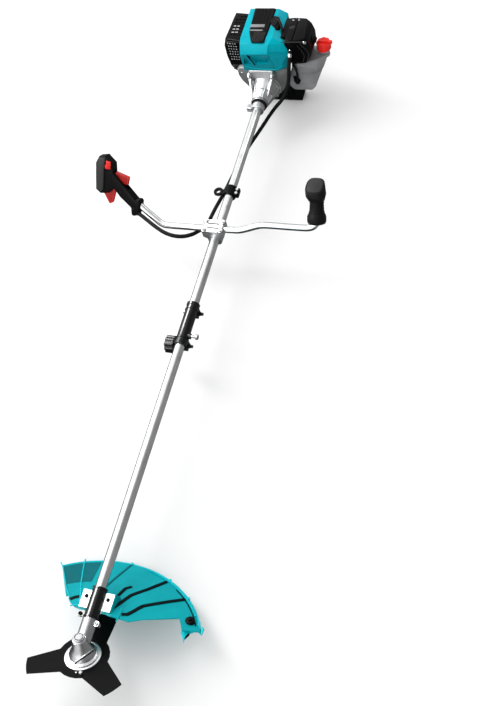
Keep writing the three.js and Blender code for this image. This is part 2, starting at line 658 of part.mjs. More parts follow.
function cylinder(engine) {
  const centre = 167;
  const barrel = rod(27, [0, centre, 50.4], [0, centre, 134], 28);
  const fins = [...Array(7).keys()].map((i) =>
    block([-35, 35], [centre - 36, centre + 36], [62 + 11 * i, 64.4 + 11 * i]));
  const foot = block([-33, 33], [centre - 33, centre + 33], [50.4, 56]);
  const ports = block([-50, 40], [centre - 13, centre + 13], [80, 102]);
  const bore = rod(BORE_R + GAP, [0, centre, 40], [0, centre, 116], 28);
  const plugHole = rod(4, [0, centre, 110], [0, centre, 140], 14);
  const passages = rod(7, [-60, centre, 91], [60, centre, 91], 16);
  const body = cut(join(barrel, ...fins, foot, ports), bore, plugHole, passages);
  add(engine, "cylinder", body, castGrey);
  const crown = turnedZ([[0, 113], [BORE_R - 0.05, 113], [BORE_R - 0.05, 83], [16, 83],
    [16, 105], [0, 105]], 28);
  add(engine, "piston", crown.translate(0, centre, 0), steel);
  const plug = turnedZ([[0, 152], [3, 152], [3, 148], [5.5, 146], [5.5, 142], [8, 142], [8, 134.4],
    [3.6, 134.4], [3.6, 120], [0, 120]], 14);
  add(engine, "spark_plug", plug.translate(0, centre, 0), whiteSteel);
}

function topCover(engine) {
  const skin = (d) => hull([
    [-50 + d, 81 + d, 69 - d], [58 - d, 81 + d, 70 - d], [84 - d, 106 + d, 66 - d],
    [-53 + d, 85 + d, 128], [36 - d, 85 + d, 130], [88 - d, 112 + d, 112],
    [-50 + d, 100 + d, 156 - d], [42 - d, 100 + d, 156 - d], [80 - d, 122 + d, 138 - d],
    [-52 + d, 120, 161 - d], [46 - d, 120, 161 - d],
    [-52 + d, 238 - d, 161 - d], [38 - d, 238 - d, 161 - d], [63 - d, 238 - d, 146 - d],
    [-54 + d, 238 - d, 66 - d], [63 - d, 238 - d, 66 - d],
  ]);
  const under = block([-200, 200], [0, 300], [0, 66]);
  const exhaust = block([-80, -30], [126, 228], [60, 140]);
  const intake = block([30, 120], [126, 222], [60, 132]);
  const filterSide = join(
    block([78, 140], [118, 260], [50, 170]),
    block([64.4, 140], [134, 260], [122, 170]),
  );
  const shell = cut(skin(0), skin(3), under, exhaust, intake, filterSide);
  add(engine, "top_cover", shell, teal);

  const insert = hull([
    [-20, 103, 161.4], [32, 103, 161.4], [-16, 106, 168], [27, 106, 168], [36, 124, 168],
    [40, 124, 161.4], [-38, 236, 161.4], [28, 238, 161.4], [-34, 234, 168], [24, 234, 168],
  ]);
  const shelf = block([-100, 100], [0, 300], [100, 161.4]);
  add(engine, "plug_cover", cut(insert, shelf), black);
}

function exhaust(engine) {
  const shell = (d) => hull([
    [-54.4, 118 + d, 31 + d], [-54.4, 118 + d, 152 - d], [-54.4, 232 - d, 31 + d],
    [-54.4, 232 - d, 152 - d], [-97 + d, 120 + d, 31 + d], [-106 + d, 121 + d, 50],
    [-110 + d, 122 + d, 86], [-108 + d, 122 + d, 128], [-98 + d, 126 + d, 152 - d],
    [-92 + d, 230 - d, 31 + d], [-100 + d, 228 - d, 50], [-104 + d, 228 - d, 86],
    [-100 + d, 228 - d, 128], [-82 + d, 230 - d, 152 - d],
  ]);
  const side = block([-57, 0], [128, 224], [38, 144]);
  const slots = [...Array(5).keys()].map((i) =>
    block([-95, -68], [136 + 14 * i, 141 + 14 * i], [140, 160]));
  const holes = [...Array(12).keys()].map((i) => {
    const [x, z] = [-96 + 10 * (i % 3), 66 + 13 * Math.floor(i / 3)];
    return rod(2.6, [x, 110, z], [x, 135, z], 8);
  });
  const cover = cut(shell(0), shell(2.5), side, ...slots, ...holes);
  add(engine, "muffler_cover", cover, black);

  const box = (d) => hull([134 + d, 218 - d].flatMap((y) => [[d - 92, y, 44 + d],
    [-60 - d, y, 38 + d], [d - 96, y, 118 - d], [-60 - d, y, 136 - d]]));
  const can = cut(box(0), box(2));
  const neck = block([-61, -50.4], [154, 180], [80, 102]);
  const passage = rod(7, [-80, 167, 91], [-30, 167, 91], 16);
  add(engine, "muffler", cut(join(can, neck), passage), darkSteel);
}

function intake(engine) {
  const body = block([40.4, 76], [148, 186], [74, 116]);
  const horn = rod(9, [75, 167, 91], [77.6, 167, 91], 20);
  const throat = rod(7, [30, 167, 91], [90, 167, 91], 16);
  const cup = rod(9.5, [60, 176, 60], [60, 176, 82], 20);
  add(engine, "carburettor", cut(join(body, horn), throat, cup), castGrey);

  const dome = turnedZ([[0, 78], [8.4, 78], [8.8, 73], [6.5, 67], [2.5, 64], [0, 64]], 18);
  add(engine, "primer_bulb", dome.translate(60, 176, 0), tankGrey);

  const arm = new THREE.Group();
  arm.position.set(62, 142, 104);
  const lever = hull([[-5, -2, -5], [5, -2, -5], [-5, 2, -5], [5, 2, -5], [-4, -2, 6], [4, -2, 6],
    [-4, 2, 6], [4, 2, 6], [16, -2, 2], [16, 2, 2], [16, -2, -3], [16, 2, -3]]);
  const spindle = rod(2.5, [0, 1, 0], [0, 5.4, 0], 12);
  add(arm, "carb_throttle_arm", join(lever, spindle), steel);
  engine.add(arm);

  const choke = new THREE.Group();
  choke.position.set(96, 112, 84);
  const blade = hull([[-5, -1.5, 5], [5, -1.5, 5], [-5, 1.5, 5], [5, 1.5, 5],
    [-4, -1.5, -24], [4, -1.5, -24], [-4, 1.5, -24], [4, 1.5, -24]]);
  const stem = rod(2.5, [0, 1, 0], [0, 4.6, 0], 12);
  add(choke, "choke_lever", join(blade, stem), black);
  engine.add(choke);
}

function airFilter(engine) {
  const tray = hull([[79, 120, 66], [79, 120, 150], [79, 216, 66], [79, 216, 152],
    [104, 120, 62], [104, 120, 153], [104, 216, 62], [104, 216, 153]]);
  const roof = block([65, 82], [136, 216], [124, 151]);
  const pocket = block([84, 110], [125, 211], [68, 146]);
  const inlet = rod(9.4, [70, 167, 91], [90, 167, 91], 20);
  add(engine, "air_filter_case", cut(join(tray, roof), pocket, inlet), black);
  add(engine, "air_filter_element", block([84.5, 103], [128, 208], [71, 143]), foam);
  const lid = (d) => hull([
    [104.4, 120 + d, 62 + d], [104.4, 120 + d, 153 - d], [104.4, 216 - d, 62 + d],
    [104.4, 216 - d, 153 - d], [132 - d, 122 + d, 62 + d], [148 - d, 130 + d, 82],
    [151 - d, 132 + d, 118], [146 - d, 130 + d, 142], [138 - d, 126 + d, 153 - d],
    [132 - d, 214 - d, 62 + d], [150 - d, 206 - d, 82], [151 - d, 206 - d, 118],
    [144 - d, 208 - d, 142], [128 - d, 214 - d, 153 - d],
  ]);
  const open = block([100, 112], [124, 212], [67, 147]);
  add(engine, "air_filter_cover", cut(lid(0), lid(3).translate(-0.1, 0, 0), open), black);
}

const CAP_AT = { x: 174, y: 186, low: 66, high: 88, radius: 21 };

function fuelTank(engine) {
  const skin = (d) => hull([
    [84 + d, 140, d - 62], [108 - d, 140, d - 62], [84 + d, 204, d - 62], [112 - d, 204, d - 62],
    [70 + d, 130 + d, d - 48], [120 - d, 130 + d, d - 48],
    [70 + d, 212 - d, d - 48], [126 - d, 212 - d, d - 48],
    [66 + d, 122 + d, -10], [140 - d, 128 + d, -10], [62 + d, 218 - d, -10],
    [146 - d, 216 - d, -10], [82 + d, 120 + d, 34 - d], [156 - d, 134 + d, 34 - d],
    [76 + d, 216 - d, 34 - d], [168 - d, 214 - d, 34 - d], [90 + d, 128 + d, 54 - d],
    [164, 150 + d, 54 - d], [84 + d, 212 - d, 54 - d], [186 - d, 206 - d, 54 - d],
    [188 - d, 172, 54 - d],
  ]);
  const neck = rod(15, [CAP_AT.x, CAP_AT.y, 40], [CAP_AT.x, CAP_AT.y, CAP_AT.low + 14], 24);
  const mouth = rod(12, [CAP_AT.x, CAP_AT.y, 30], [CAP_AT.x, CAP_AT.y, 100], 24);
  const room = skin(3);
  add(engine, "fuel_tank", cut(join(skin(0), neck), room, mouth), tankGrey);

  const cap = new THREE.Group();
  cap.position.set(CAP_AT.x, CAP_AT.y, 0);
  const { low, high, radius } = CAP_AT;
  const outline = [...Array(32).keys()].map((i) => {
    const r = i % 4 < 2 ? radius : radius - 1.6;
    const angle = (2 * Math.PI * i) / 32;
    return [r * Math.cos(angle), r * Math.sin(angle)];
  });
  const well = rod(15 + GAP, [0, 0, low - 5], [0, 0, low + 14 + GAP], 24);
  const tab = block([-4, radius + 6], [-4, 4], [high - 5, high + 4]);
  add(cap, "fuel_cap", cut(join(raisedZ(outline, low, high), tab), well), red);
  engine.add(cap);
}

function stand(engine) {
  const floor = -SHAFT_HEIGHT;
  const skin = (d) => hull([-1, 1].flatMap((side) => [
    [side * (70 - d), 186 + d, floor + d * 1.2], [side * (70 - d), 226 + 2 * d, floor + d * 1.2],
    [side * (84 - d), 188 + d, -114], [side * (84 - d), 224 + 2 * d, -114],
    [side * (52 - d), 190 + d, -80 - d], [side * (52 - d), 220 + 2 * d, -80 - d],
  ]));
  const post = block([-24, 24], [192, 218], [-83, -55.4]);
  add(engine, "stand", join(cut(skin(0), skin(4)), post), black);
}

function recoilStarter(engine) {
  const rear = 272;
  const cup = turnedY([[0, rear], [52, rear], [58, rear - 8], [58, 234], [54.5, 234],
    [54.5, rear - 9], [50, rear - 3.5], [3.6, rear - 3.5], [3.6, 239], [0, 239]], 36);
  const vents = [...Array(6).keys()].map((i) => {
    const angle = (Math.PI * i) / 3 + Math.PI / 6;
    const [x, z] = [32 * Math.cos(angle), 32 * Math.sin(angle)];
    return rod(7, [x, rear - 10, z], [x, rear + 5, z], 12);
  });
  const ropeHole = rod(4, [-38, 246, 20], [-38, 246, 70], 12);
  const housing = cut(cup, ...vents, ropeHole);
  add(engine, "starter_housing", housing, black);

  const pulley = turnedY([[4, 240], [46, 240], [46, 243], [36.2, 244.5], [36.2, 247.5], [46, 249],
    [46, 252], [4, 252], [4, 240]], 32);
  add(engine, "starter_pulley", pulley, black);

  const grip = hull([-66, -10].flatMap((x) => [[x, 240, 58], [x, 253, 58], [x, 238.5, 66],
    [x, 254.5, 66], [x, 241, 74], [x, 252, 74]]));
  const nose = taper(5, 8, [-38, 246, 50], [-38, 246, 59], 14);
  const hole = rod(2.2, [-38, 246, 40], [-38, 246, 70], 12);
  add(engine, "starter_handle", cut(join(grip, nose), hole), black);
  add(engine, "starter_rope", rod(1.8, [-38, 246, 38], [-38, 246, 68], 10), whiteSteel);
}

// ---- assembly ----
const brushCutter = new THREE.Group();
brushCutter.position.set(0, -STAND_Y, SHAFT_HEIGHT);

const shaftGroup = new THREE.Group();
shaftTubes(shaftGroup);
coupler(shaftGroup);
harnessClamp(shaftGroup);
barClamp(shaftGroup);
throttleCable(shaftGroup);
guard(shaftGroup);
guardFixings(shaftGroup);

const armsGroup = new THREE.Group();
armsGroup.position.z = BAR_HEIGHT;
armsGroup.rotation.x = BAR_RAKE;
handlebar(armsGroup);
triggerGrip(armsGroup);

const headGroup = toHead(new THREE.Group());
lineCutter(headGroup);
gearCase(headGroup);
gearTrain(headGroup, shaftGroup);
bladeSet(headGroup);

const engineGroup = new THREE.Group();
engineGroup.position.y = ENGINE_Y;
clutch(engineGroup);
clutchRotor(engineGroup);
fanHousing(engineGroup);
crankTrain(engineGroup);
cylinder(engineGroup);
topCover(engineGroup);
exhaust(engineGroup);
intake(engineGroup);
airFilter(engineGroup);
fuelTank(engineGroup);
stand(engineGroup);
recoilStarter(engineGroup);

brushCutter.add(shaftGroup, armsGroup, headGroup, engineGroup);

export default brushCutter;
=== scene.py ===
"""A two-handed petrol brush cutter at rest on its engine stand and the rim of its guard."""

import json
import math

import bmesh
import bpy
import numpy as np
from mathutils import Matrix, Vector


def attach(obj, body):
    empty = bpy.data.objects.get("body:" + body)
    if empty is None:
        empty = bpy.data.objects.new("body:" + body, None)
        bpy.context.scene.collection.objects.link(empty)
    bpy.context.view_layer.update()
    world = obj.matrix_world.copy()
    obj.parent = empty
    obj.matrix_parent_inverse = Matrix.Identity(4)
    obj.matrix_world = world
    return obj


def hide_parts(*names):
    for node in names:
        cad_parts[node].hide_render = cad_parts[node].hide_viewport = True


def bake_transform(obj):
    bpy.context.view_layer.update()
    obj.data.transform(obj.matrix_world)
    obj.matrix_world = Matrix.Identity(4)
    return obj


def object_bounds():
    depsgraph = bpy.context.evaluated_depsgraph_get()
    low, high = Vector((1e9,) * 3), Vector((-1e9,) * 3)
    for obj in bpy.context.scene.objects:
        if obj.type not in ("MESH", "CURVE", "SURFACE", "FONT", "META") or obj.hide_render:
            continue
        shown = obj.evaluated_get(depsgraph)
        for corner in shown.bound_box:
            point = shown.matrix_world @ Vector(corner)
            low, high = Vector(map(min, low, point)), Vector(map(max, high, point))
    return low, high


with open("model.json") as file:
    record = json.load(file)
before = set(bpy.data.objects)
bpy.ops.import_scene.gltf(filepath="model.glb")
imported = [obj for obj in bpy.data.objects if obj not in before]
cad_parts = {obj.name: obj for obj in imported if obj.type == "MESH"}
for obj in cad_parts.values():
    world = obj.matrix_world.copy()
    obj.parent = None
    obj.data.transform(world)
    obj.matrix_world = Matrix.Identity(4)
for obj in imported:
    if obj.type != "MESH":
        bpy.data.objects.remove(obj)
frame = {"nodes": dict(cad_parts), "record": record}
cad_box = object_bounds()

# ---- frames: lengths below are millimetres in one of these, and become metres in the row frame ----
MM = Matrix.Scale(0.001, 4)
ARM_TILT, HEAD_TILT = math.radians(55), math.radians(28)
SHAFT = Matrix.Translation((0, -0.685, 0.155)) @ MM
ENGINE = SHAFT @ Matrix.Translation((0, 480, 0))
ARMS = SHAFT @ Matrix.Translation((0, 0, 25)) @ Matrix.Rotation(ARM_TILT, 4, "X")
HEAD = SHAFT @ Matrix.Translation((0, -1158, 0)) @ Matrix.Rotation(-HEAD_TILT, 4, "X")
ALONG = Matrix.Rotation(math.radians(-90), 4, "X")  # lays a part made about Z along Y


def put(name, data):
    """A new object in the scene."""
    o = bpy.data.objects.new(name, data)
    bpy.context.scene.collection.objects.link(o)
    return o


# ---- materials ----
class Nodes:
    """Short names for building one material's node tree."""

    def __init__(self, name):
        self.material = bpy.data.materials.new(name)
        self.material.use_nodes = True
        self.tree = self.material.node_tree
        self.tree.nodes.clear()
        self.out = self.tree.nodes.new("ShaderNodeOutputMaterial")
        self.shader = self.tree.nodes.new("ShaderNodeBsdfPrincipled")
        self.link(self.shader.outputs[0], self.out.inputs[0])
        self.place = self.tree.nodes.new("ShaderNodeTexCoord").outputs["Object"]

    def link(self, source, target):
        self.tree.links.new(source, target)

    def drive(self, name, source):
        """Links a source to one of the shader's inputs."""
        self.link(source, self.shader.inputs[name])

    def fix(self, name, value):
        """Gives one of the shader's inputs a uniform value."""
        self.shader.inputs[name].default_value = value

    def node(self, kind, links, values=None, out=0):
        """The output of a new node, whose inputs are linked or given uniform values."""
        node = self.tree.nodes.new(kind)
        for name, value in (values or {}).items():
            node.inputs[name].default_value = value
        for name, source in links.items():
            self.link(source, node.inputs[name])
        return node.outputs[out]

    def noise(self, scale, detail=3.0, rough=0.55, stretch=(1, 1, 1)):
        place = self.node("ShaderNodeMapping", {"Vector": self.place}, {"Scale": stretch})
        values = {"Scale": scale, "Detail": detail, "Roughness": rough}
        return self.node("ShaderNodeTexNoise", {"Vector": place}, values, "Fac")

    def cells(self, scale):
        return self.node("ShaderNodeTexVoronoi", {"Vector": self.place}, {"Scale": scale}, "Distance")

    def ramp(self, fac, stops):
        node = self.tree.nodes.new("ShaderNodeValToRGB")
        elements = node.color_ramp.elements
        while len(elements) < len(stops):
            elements.new(0.5)
        for element, (at, colour) in zip(elements, stops):
            element.position = at
            element.color = (*colour, 1)
        self.link(fac, node.inputs[0])
        return node.outputs[0]

    def drift(self, fac, colour, dark, light):
        """The colour, drifting between a darker and a lighter tone of itself."""
        return self.ramp(fac, [(0.3, tone(colour, dark)), (0.7, tone(colour, light))])

    def height_of_normal(self):
        """How far the surface faces up, for painted light that makes upward faces lighter."""
        normal = self.node("ShaderNodeTexCoord", {}, out="Normal")
        return self.node("ShaderNodeSeparateXYZ", {0: normal}, out="Z")

    def multiplied(self, first, second):
        node = self.tree.nodes.new("ShaderNodeMix")
        node.data_type, node.blend_type = "RGBA", "MULTIPLY"
        node.inputs["Factor"].default_value = 1.0
        self.link(first, node.inputs[6])
        self.link(second, node.inputs[7])
        return node.outputs[2]

    def span(self, fac, low, high):
        ends = {"From Min": 0.3, "From Max": 0.7, "To Min": low, "To Max": high}
        return self.node("ShaderNodeMapRange", {"Value": fac}, ends)

    def bump(self, height, strength, distance, below=None):
        links = {"Height": height} if below is None else {"Height": height, "Normal": below}
        return self.node("ShaderNodeBump", links, {"Strength": strength, "Distance": distance})


def tone(colour, factor):
    return tuple(min(1.0, c * factor) for c in colour)


def plastic(name, colour, rough, grain=0.25, mottle=0.12, coat=0.0, gloss=0.2, painted_top_light=0.0):
    """Moulded plastic: a fine spark-eroded grain, slight colour drift, and handling marks in the gloss. With
    painted_top_light set, upward faces get painted light: a lighter base colour.
    """
    n = Nodes(name)
    tint = n.drift(n.noise(14, 4), colour, 1 - mottle, 1 + mottle)
    if painted_top_light:
        # painted light: the base colour grows lighter as the face turns up
        lifted = n.ramp(n.height_of_normal(), [(0.08, (1, 1, 1)), (0.55, (1 + painted_top_light,) * 3)])
        tint = n.multiplied(tint, lifted)
    n.drive("Base Color", tint)
    smear = n.noise(55, 5, 0.65)
    n.drive("Roughness", n.span(smear, rough * 0.82, rough * 1.25))
    pits = n.bump(n.noise(1900, 2), grain, 0.0002)
    n.drive("Normal", n.bump(n.noise(120, 2), 0.06, 0.0006, pits))
    n.fix("Coat Weight", coat)
    n.fix("Coat Roughness", 0.12)
    n.fix("Specular IOR Level", gloss)
    return n.material


def metal(name, colour, rough, stretch=(1, 1, 1), scale=900, bump=0.1, spread=0.3, metallic=1.0, gloss=0.5):
    """Bare or plated metal: grain or draw lines along `stretch`, with duller patches."""
    n = Nodes(name)
    patches = n.noise(26, 5, 0.6)
    stops = [(0.25, tone(colour, 0.86)), (0.5, colour), (0.8, tone(colour, 1.07))]
    n.drive("Base Color", n.ramp(patches, stops))
    lines = n.noise(scale, 3, 0.6, stretch)
    n.drive("Roughness", n.span(lines, rough * (1 - spread), rough * (1 + spread)))
    n.drive("Normal", n.bump(lines, bump, 0.0002))
    n.fix("Specular IOR Level", gloss)
    n.fix("Metallic", metallic)
    return n.material


def cast_metal(name, colour, rough, metallic=1.0):
    """Die-cast metal: a shot-blasted skin over soft unevenness."""
    n = Nodes(name)
    n.drive("Base Color", n.drift(n.noise(40, 5, 0.6), colour, 0.86, 1.08))
    n.drive("Roughness", n.span(n.noise(220, 4, 0.6), rough * 0.8, rough * 1.25))
    skin = n.bump(n.cells(1500), 0.16, 0.0003)
    n.drive("Normal", n.bump(n.noise(260, 3), 0.12, 0.0005, skin))
    n.fix("Metallic", metallic)
    return n.material


def rubber(name, colour):
    n = Nodes(name)
    n.drive("Base Color", n.drift(n.noise(35, 5), colour, 0.8, 1.3))
    n.drive("Roughness", n.span(n.noise(160, 4), 0.45, 0.68))
    n.drive("Normal", n.bump(n.noise(900, 3), 0.3, 0.0003))
    n.fix("Specular IOR Level", 0.1)
    return n.material


def foam_material(name, colour):
    n = Nodes(name)
    pores = n.cells(700)
    n.drive("Base Color", n.ramp(pores, [(0.1, tone(colour, 0.35)), (0.6, colour)]))
    n.drive("Normal", n.bump(pores, 0.8, 0.0008))
    n.fix("Roughness", 0.95)
    return n.material


def floor_material():
    n = Nodes("floor_paper")
    n.drive("Base Color", n.ramp(n.noise(3, 3), [(0.3, (0.70, 0.70, 0.70)), (0.7, (0.72, 0.72, 0.72))]))
    n.fix("Roughness", 0.9)
    n.fix("Specular IOR Level", 0.1)
    return n.material


# the teal's upward faces are painted lighter: painted top light
TEAL = plastic("teal_moulding", (0.0, 0.185, 0.225), 0.32, gloss=0.07, painted_top_light=0.9)
GUARD_TEAL = plastic("guard_moulding", (0.0, 0.30, 0.34), 0.36, grain=0.15, mottle=0.08, gloss=0.06)
# painted shade: a darker copy of the guard teal
GUARD_PAINTED_SHADE = plastic("guard_painted_shade", (0.0, 0.115, 0.135), 0.4, grain=0.2, gloss=0.08)
BLACK = plastic("black_moulding", (0.0026, 0.0026, 0.0029), 0.36, gloss=0.06)
# grey-black moulding, also painted highlight on the soft grip's end and the filter's top edge
GREY_BLACK_AND_EDGE_HIGHLIGHT = plastic("grey_black_moulding_and_painted_highlight", (0.026, 0.026, 0.027), 0.42, grain=0.4, gloss=0.12)
KNOB_BLACK = plastic("knob_moulding", (0.003, 0.003, 0.0033), 0.2, grain=0.05, gloss=0.35)
GLOSS_BLACK = plastic("black_gloss_paint", (0.0015, 0.0015, 0.0018), 0.13, grain=0.05, gloss=0.35)
RUBBER = rubber("black_rubber_skin", (0.0045, 0.0045, 0.0045))
RED = plastic("red_moulding", (0.72, 0.016, 0.010), 0.32)
RED_DEEP = plastic("red_lever_moulding", (0.46, 0.010, 0.008), 0.34)
RED_DARK = plastic("red_rib_moulding", (0.26, 0.010, 0.008), 0.4, gloss=0.12)
TANK = plastic("smoked_tank", (0.19, 0.195, 0.20), 0.2, grain=0.1, mottle=0.2, gloss=0.5)
TUBE = metal("drawn_aluminium", (0.62, 0.625, 0.63), 0.22, (1, 0.02, 1), 700, 0.04)
BAR = metal("polished_bar", (0.62, 0.625, 0.63), 0.2, (0.03, 1, 1), 700, 0.04)
CAST = cast_metal("cast_aluminium_skin", (0.58, 0.585, 0.59), 0.42)
GEAR_CAST = cast_metal("gear_head_casting", (0.43, 0.435, 0.44), 0.27)
# dark grey casting; on the fan housing, its darkness is painted shade
GREY_CASTING_AND_SHADE = cast_metal("grey_casting_and_painted_shade", (0.19, 0.192, 0.195), 0.5, 0.6)
STEEL = metal("turned_steel", (0.56, 0.57, 0.58), 0.27, scale=1300)
PIN_STEEL = metal("dark_pin_steel", (0.34, 0.345, 0.35), 0.22, scale=1300)
ZINC = metal("white_zinc", (0.86, 0.87, 0.88), 0.38, scale=500, metallic=0.35)
# black oxide steel for the blade and screws, also near-black painted shade in gaps and grooves
BLACK_STEEL_AND_GAP_SHADE = metal("black_oxide_steel_and_painted_gap_shade", (0.0042, 0.0042, 0.0045), 0.45, scale=800, bump=0.15,
                    metallic=0.0, gloss=0.03)
CAST_DULL = cast_metal("dull_casting", (0.27, 0.275, 0.28), 0.45)
BAR_GREY = plastic("grey_bar_moulding", (0.19, 0.19, 0.195), 0.3, coat=0.2)
# near-black teal: painted shade for the guard's ribs and the strip inside its rim
GUARD_PAINTED_DEEP_SHADE = plastic("guard_rib_painted_shade", (0.001, 0.006, 0.0065), 0.45, gloss=0.05)
# a lighter copy of the guard teal: painted highlight on the rim, step, fine ribs and knobs, and the pale teal
# of the claw and prongs
GUARD_PALE_AND_HIGHLIGHT = plastic("guard_pale_teal_and_painted_highlight", (0.0, 0.46, 0.52), 0.3, gloss=0.12)
CORD = rubber("braided_cord", (0.42, 0.41, 0.39))
FOAM = foam_material("filter_foam", (0.05, 0.047, 0.042))

SLOT_LOOKS = {  # the first look is the one that a slot's CAD nodes have
    "teal_plastic": (TEAL, GUARD_TEAL, GUARD_PAINTED_SHADE, GUARD_PALE_AND_HIGHLIGHT),
    "black_plastic": (BLACK, GREY_BLACK_AND_EDGE_HIGHLIGHT, KNOB_BLACK, GLOSS_BLACK, BAR_GREY, GUARD_PAINTED_DEEP_SHADE),
    "red_plastic": (RED, RED_DEEP, RED_DARK),
    "cast_aluminium": (CAST, GEAR_CAST, GREY_CASTING_AND_SHADE, CAST_DULL),
    "tube_aluminium": (TUBE, BAR), "steel": (STEEL, PIN_STEEL), "dark_steel": (BLACK_STEEL_AND_GAP_SHADE,),
    "black_rubber": (RUBBER,), "zinc_sheet": (ZINC,), "tank_plastic": (TANK,), "foam": (FOAM,),
}


# ---- mesh code ----
def hull(points, bevel=0.0, segments=3):
    """The convex solid around the points, its edges rounded."""
    bm = bmesh.new()
    for p in points:
        bm.verts.new(p)
    bmesh.ops.convex_hull(bm, input=bm.verts)
    bmesh.ops.delete(bm, geom=[v for v in bm.verts if not v.link_faces], context="VERTS")
    bmesh.ops.dissolve_limit(bm, angle_limit=math.radians(2), verts=bm.verts, edges=bm.edges)
    return rounded(bm, bevel, segments)


def rounded(bm, bevel, segments=3, angle=20):
    if bevel:
        edges = [e for e in bm.edges if len(e.link_faces) == 2
                 and e.calc_face_angle(0) > math.radians(angle)]
        bmesh.ops.bevel(bm, geom=edges, offset=bevel, segments=segments, profile=0.5,
                        affect="EDGES", clamp_overlap=True)
    return bm


def block(x, y, z, bevel=0.0, segments=2):
    return hull([(a, b, c) for a in x for b in y for c in z], bevel, segments)


def slab(corners, bevel=0.0, segments=3):
    """The convex solid between corners that are each given as (x, y, low, high)."""
    return hull([(x, y, z) for x, y, *ends in corners for z in ends], bevel, segments)


def raised(outline, low, high, bevel=0.0, segments=2):
    """An outline in X and Y, raised along Z."""
    bm = bmesh.new()
    bottom = [bm.verts.new((x, y, low)) for x, y in outline]
    face = bm.faces.new(bottom)
    lifted = bmesh.ops.extrude_face_region(bm, geom=[face])["geom"]
    for v in lifted:
        if isinstance(v, bmesh.types.BMVert):
            v.co.z = high
    bmesh.ops.recalc_face_normals(bm, faces=bm.faces)
    return rounded(bm, bevel, segments)


def ring_of(radius, sides):
    turns = [math.tau * i / sides for i in range(sides)]
    return [(radius * math.cos(a), radius * math.sin(a)) for a in turns]


def skinned(bm, rings):
    """Closes rings of vertices into one skin with a flat face at each end."""
    for a, b in zip(rings, rings[1:]):
        for i in range(len(a)):
            j = (i + 1) % len(a)
            bm.faces.new((a[i], a[j], b[j], b[i]))
    bm.faces.new(rings[0])
    bm.faces.new(rings[-1])
    bmesh.ops.recalc_face_normals(bm, faces=bm.faces)
    return bm


def lathe(profile, sides=48, to=None):
    """A body of revolution about Z: the profile lists (radius, z), outside first to last."""
    bm = bmesh.new()
    rings = []
    for r, z in profile:
        if r < 1e-6:
            rings.append([bm.verts.new((0, 0, z))])
        else:
            rings.append([bm.verts.new((x, y, z)) for x, y in ring_of(r, sides)])
    pairs = list(zip(rings, rings[1:]))
    if profile[0] != profile[-1] and len(rings[0]) > 1 and len(rings[-1]) > 1:
        pairs.append((rings[-1], rings[0]))
    for a, b in pairs:
        for i in range(sides):
            j = (i + 1) % sides
            corners = [a[i % len(a)], a[j % len(a)], b[j % len(b)], b[i % len(b)]]
            corners = [c for k, c in enumerate(corners) if c not in corners[:k]]
            if len(corners) > 2:
                bm.faces.new(corners)
    bmesh.ops.remove_doubles(bm, verts=bm.verts, dist=1e-5)
    bmesh.ops.recalc_face_normals(bm, faces=bm.faces)
    if to is not None:
        bm.transform(to)
    return bm


def aim(start, end):
    """The matrix that takes the Z axis to the line from start to end."""
    start, end = Vector(start), Vector(end)
    turn = (end - start).to_track_quat("Z", "Y").to_matrix().to_4x4()
    return Matrix.Translation(start) @ turn


def rod(radius, start, end, sides=32, bevel=0.0):
    length = (Vector(end) - Vector(start)).length
    c = min(bevel, radius * 0.6, length * 0.4)
    profile = [(0, 0), (radius, 0), (radius, length), (0, length)]
    if c:
        edge = [(radius - c, 0), (radius - c * 0.3, c * 0.3), (radius, c)]
        profile = [(0, 0), *edge, *((r, length - z) for r, z in reversed(edge)), (0, length)]
    return lathe(profile, sides, aim(start, end))


def mixed(a, b, start, end, s):
    """The point at s on the line that is at a when s is start, and at b when s is end."""
    return (end - s) / (end - start) * a + (s - start) / (end - start) * b


def smooth_path(points, steps):
    """Points spaced along a centripetal Catmull-Rom curve."""
    p = [np.array(q, float) for q in points]
    p = [2 * p[0] - p[1], *p, 2 * p[-1] - p[-2]]
    out = []
    for a, b, c, d in zip(p, p[1:], p[2:], p[3:]):
        t = [0.0]
        for u, v in ((a, b), (b, c), (c, d)):
            t.append(t[-1] + np.linalg.norm(v - u) ** 0.5)
        count = max(2, round(steps * np.linalg.norm(c - b)))
        for s in np.linspace(t[1], t[2], count, endpoint=False):
            a1, a2, a3 = (mixed(*pair, *span, s) for pair, span in
                          (((a, b), t[:2]), ((b, c), t[1:3]), ((c, d), t[2:])))
            b1, b2 = mixed(a1, a2, t[0], t[2], s), mixed(a2, a3, t[1], t[3], s)
            out.append(mixed(b1, b2, t[1], t[2], s))
    return [Vector(q) for q in [*out, p[-2]]]


def tube(points, radius, sides=16, steps=0.2):
    """A round bar along a smooth line through the points, or a straight one if steps is 0."""
    line = smooth_path(points, steps) if steps else [Vector(p) for p in points]
    section = ring_of(radius, sides)
    bm = bmesh.new()
    along = (line[1] - line[0]).normalized()
    side = along.orthogonal().normalized()
    rings = []
    for i, p in enumerate(line):
        way = (line[min(i + 1, len(line) - 1)] - line[max(i - 1, 0)]).normalized()
        side = (side - way * side.dot(way)).normalized()
        up = way.cross(side)
        rings.append([bm.verts.new(p + side * a + up * b) for a, b in section])
    return skinned(bm, rings)


def joined(*parts):
    """Several meshes as one, without merging their skins."""
    whole = bmesh.new()
    for part in parts:
        mesh = bpy.data.meshes.new("part")
        part.to_mesh(mesh)
        part.free()
        whole.from_mesh(mesh)
        bpy.data.meshes.remove(mesh)
    return whole


def scratch(bm):
    mesh = bpy.data.meshes.new("scratch")
    bm.to_mesh(mesh)
    bm.free()
    return put("scratch", mesh)


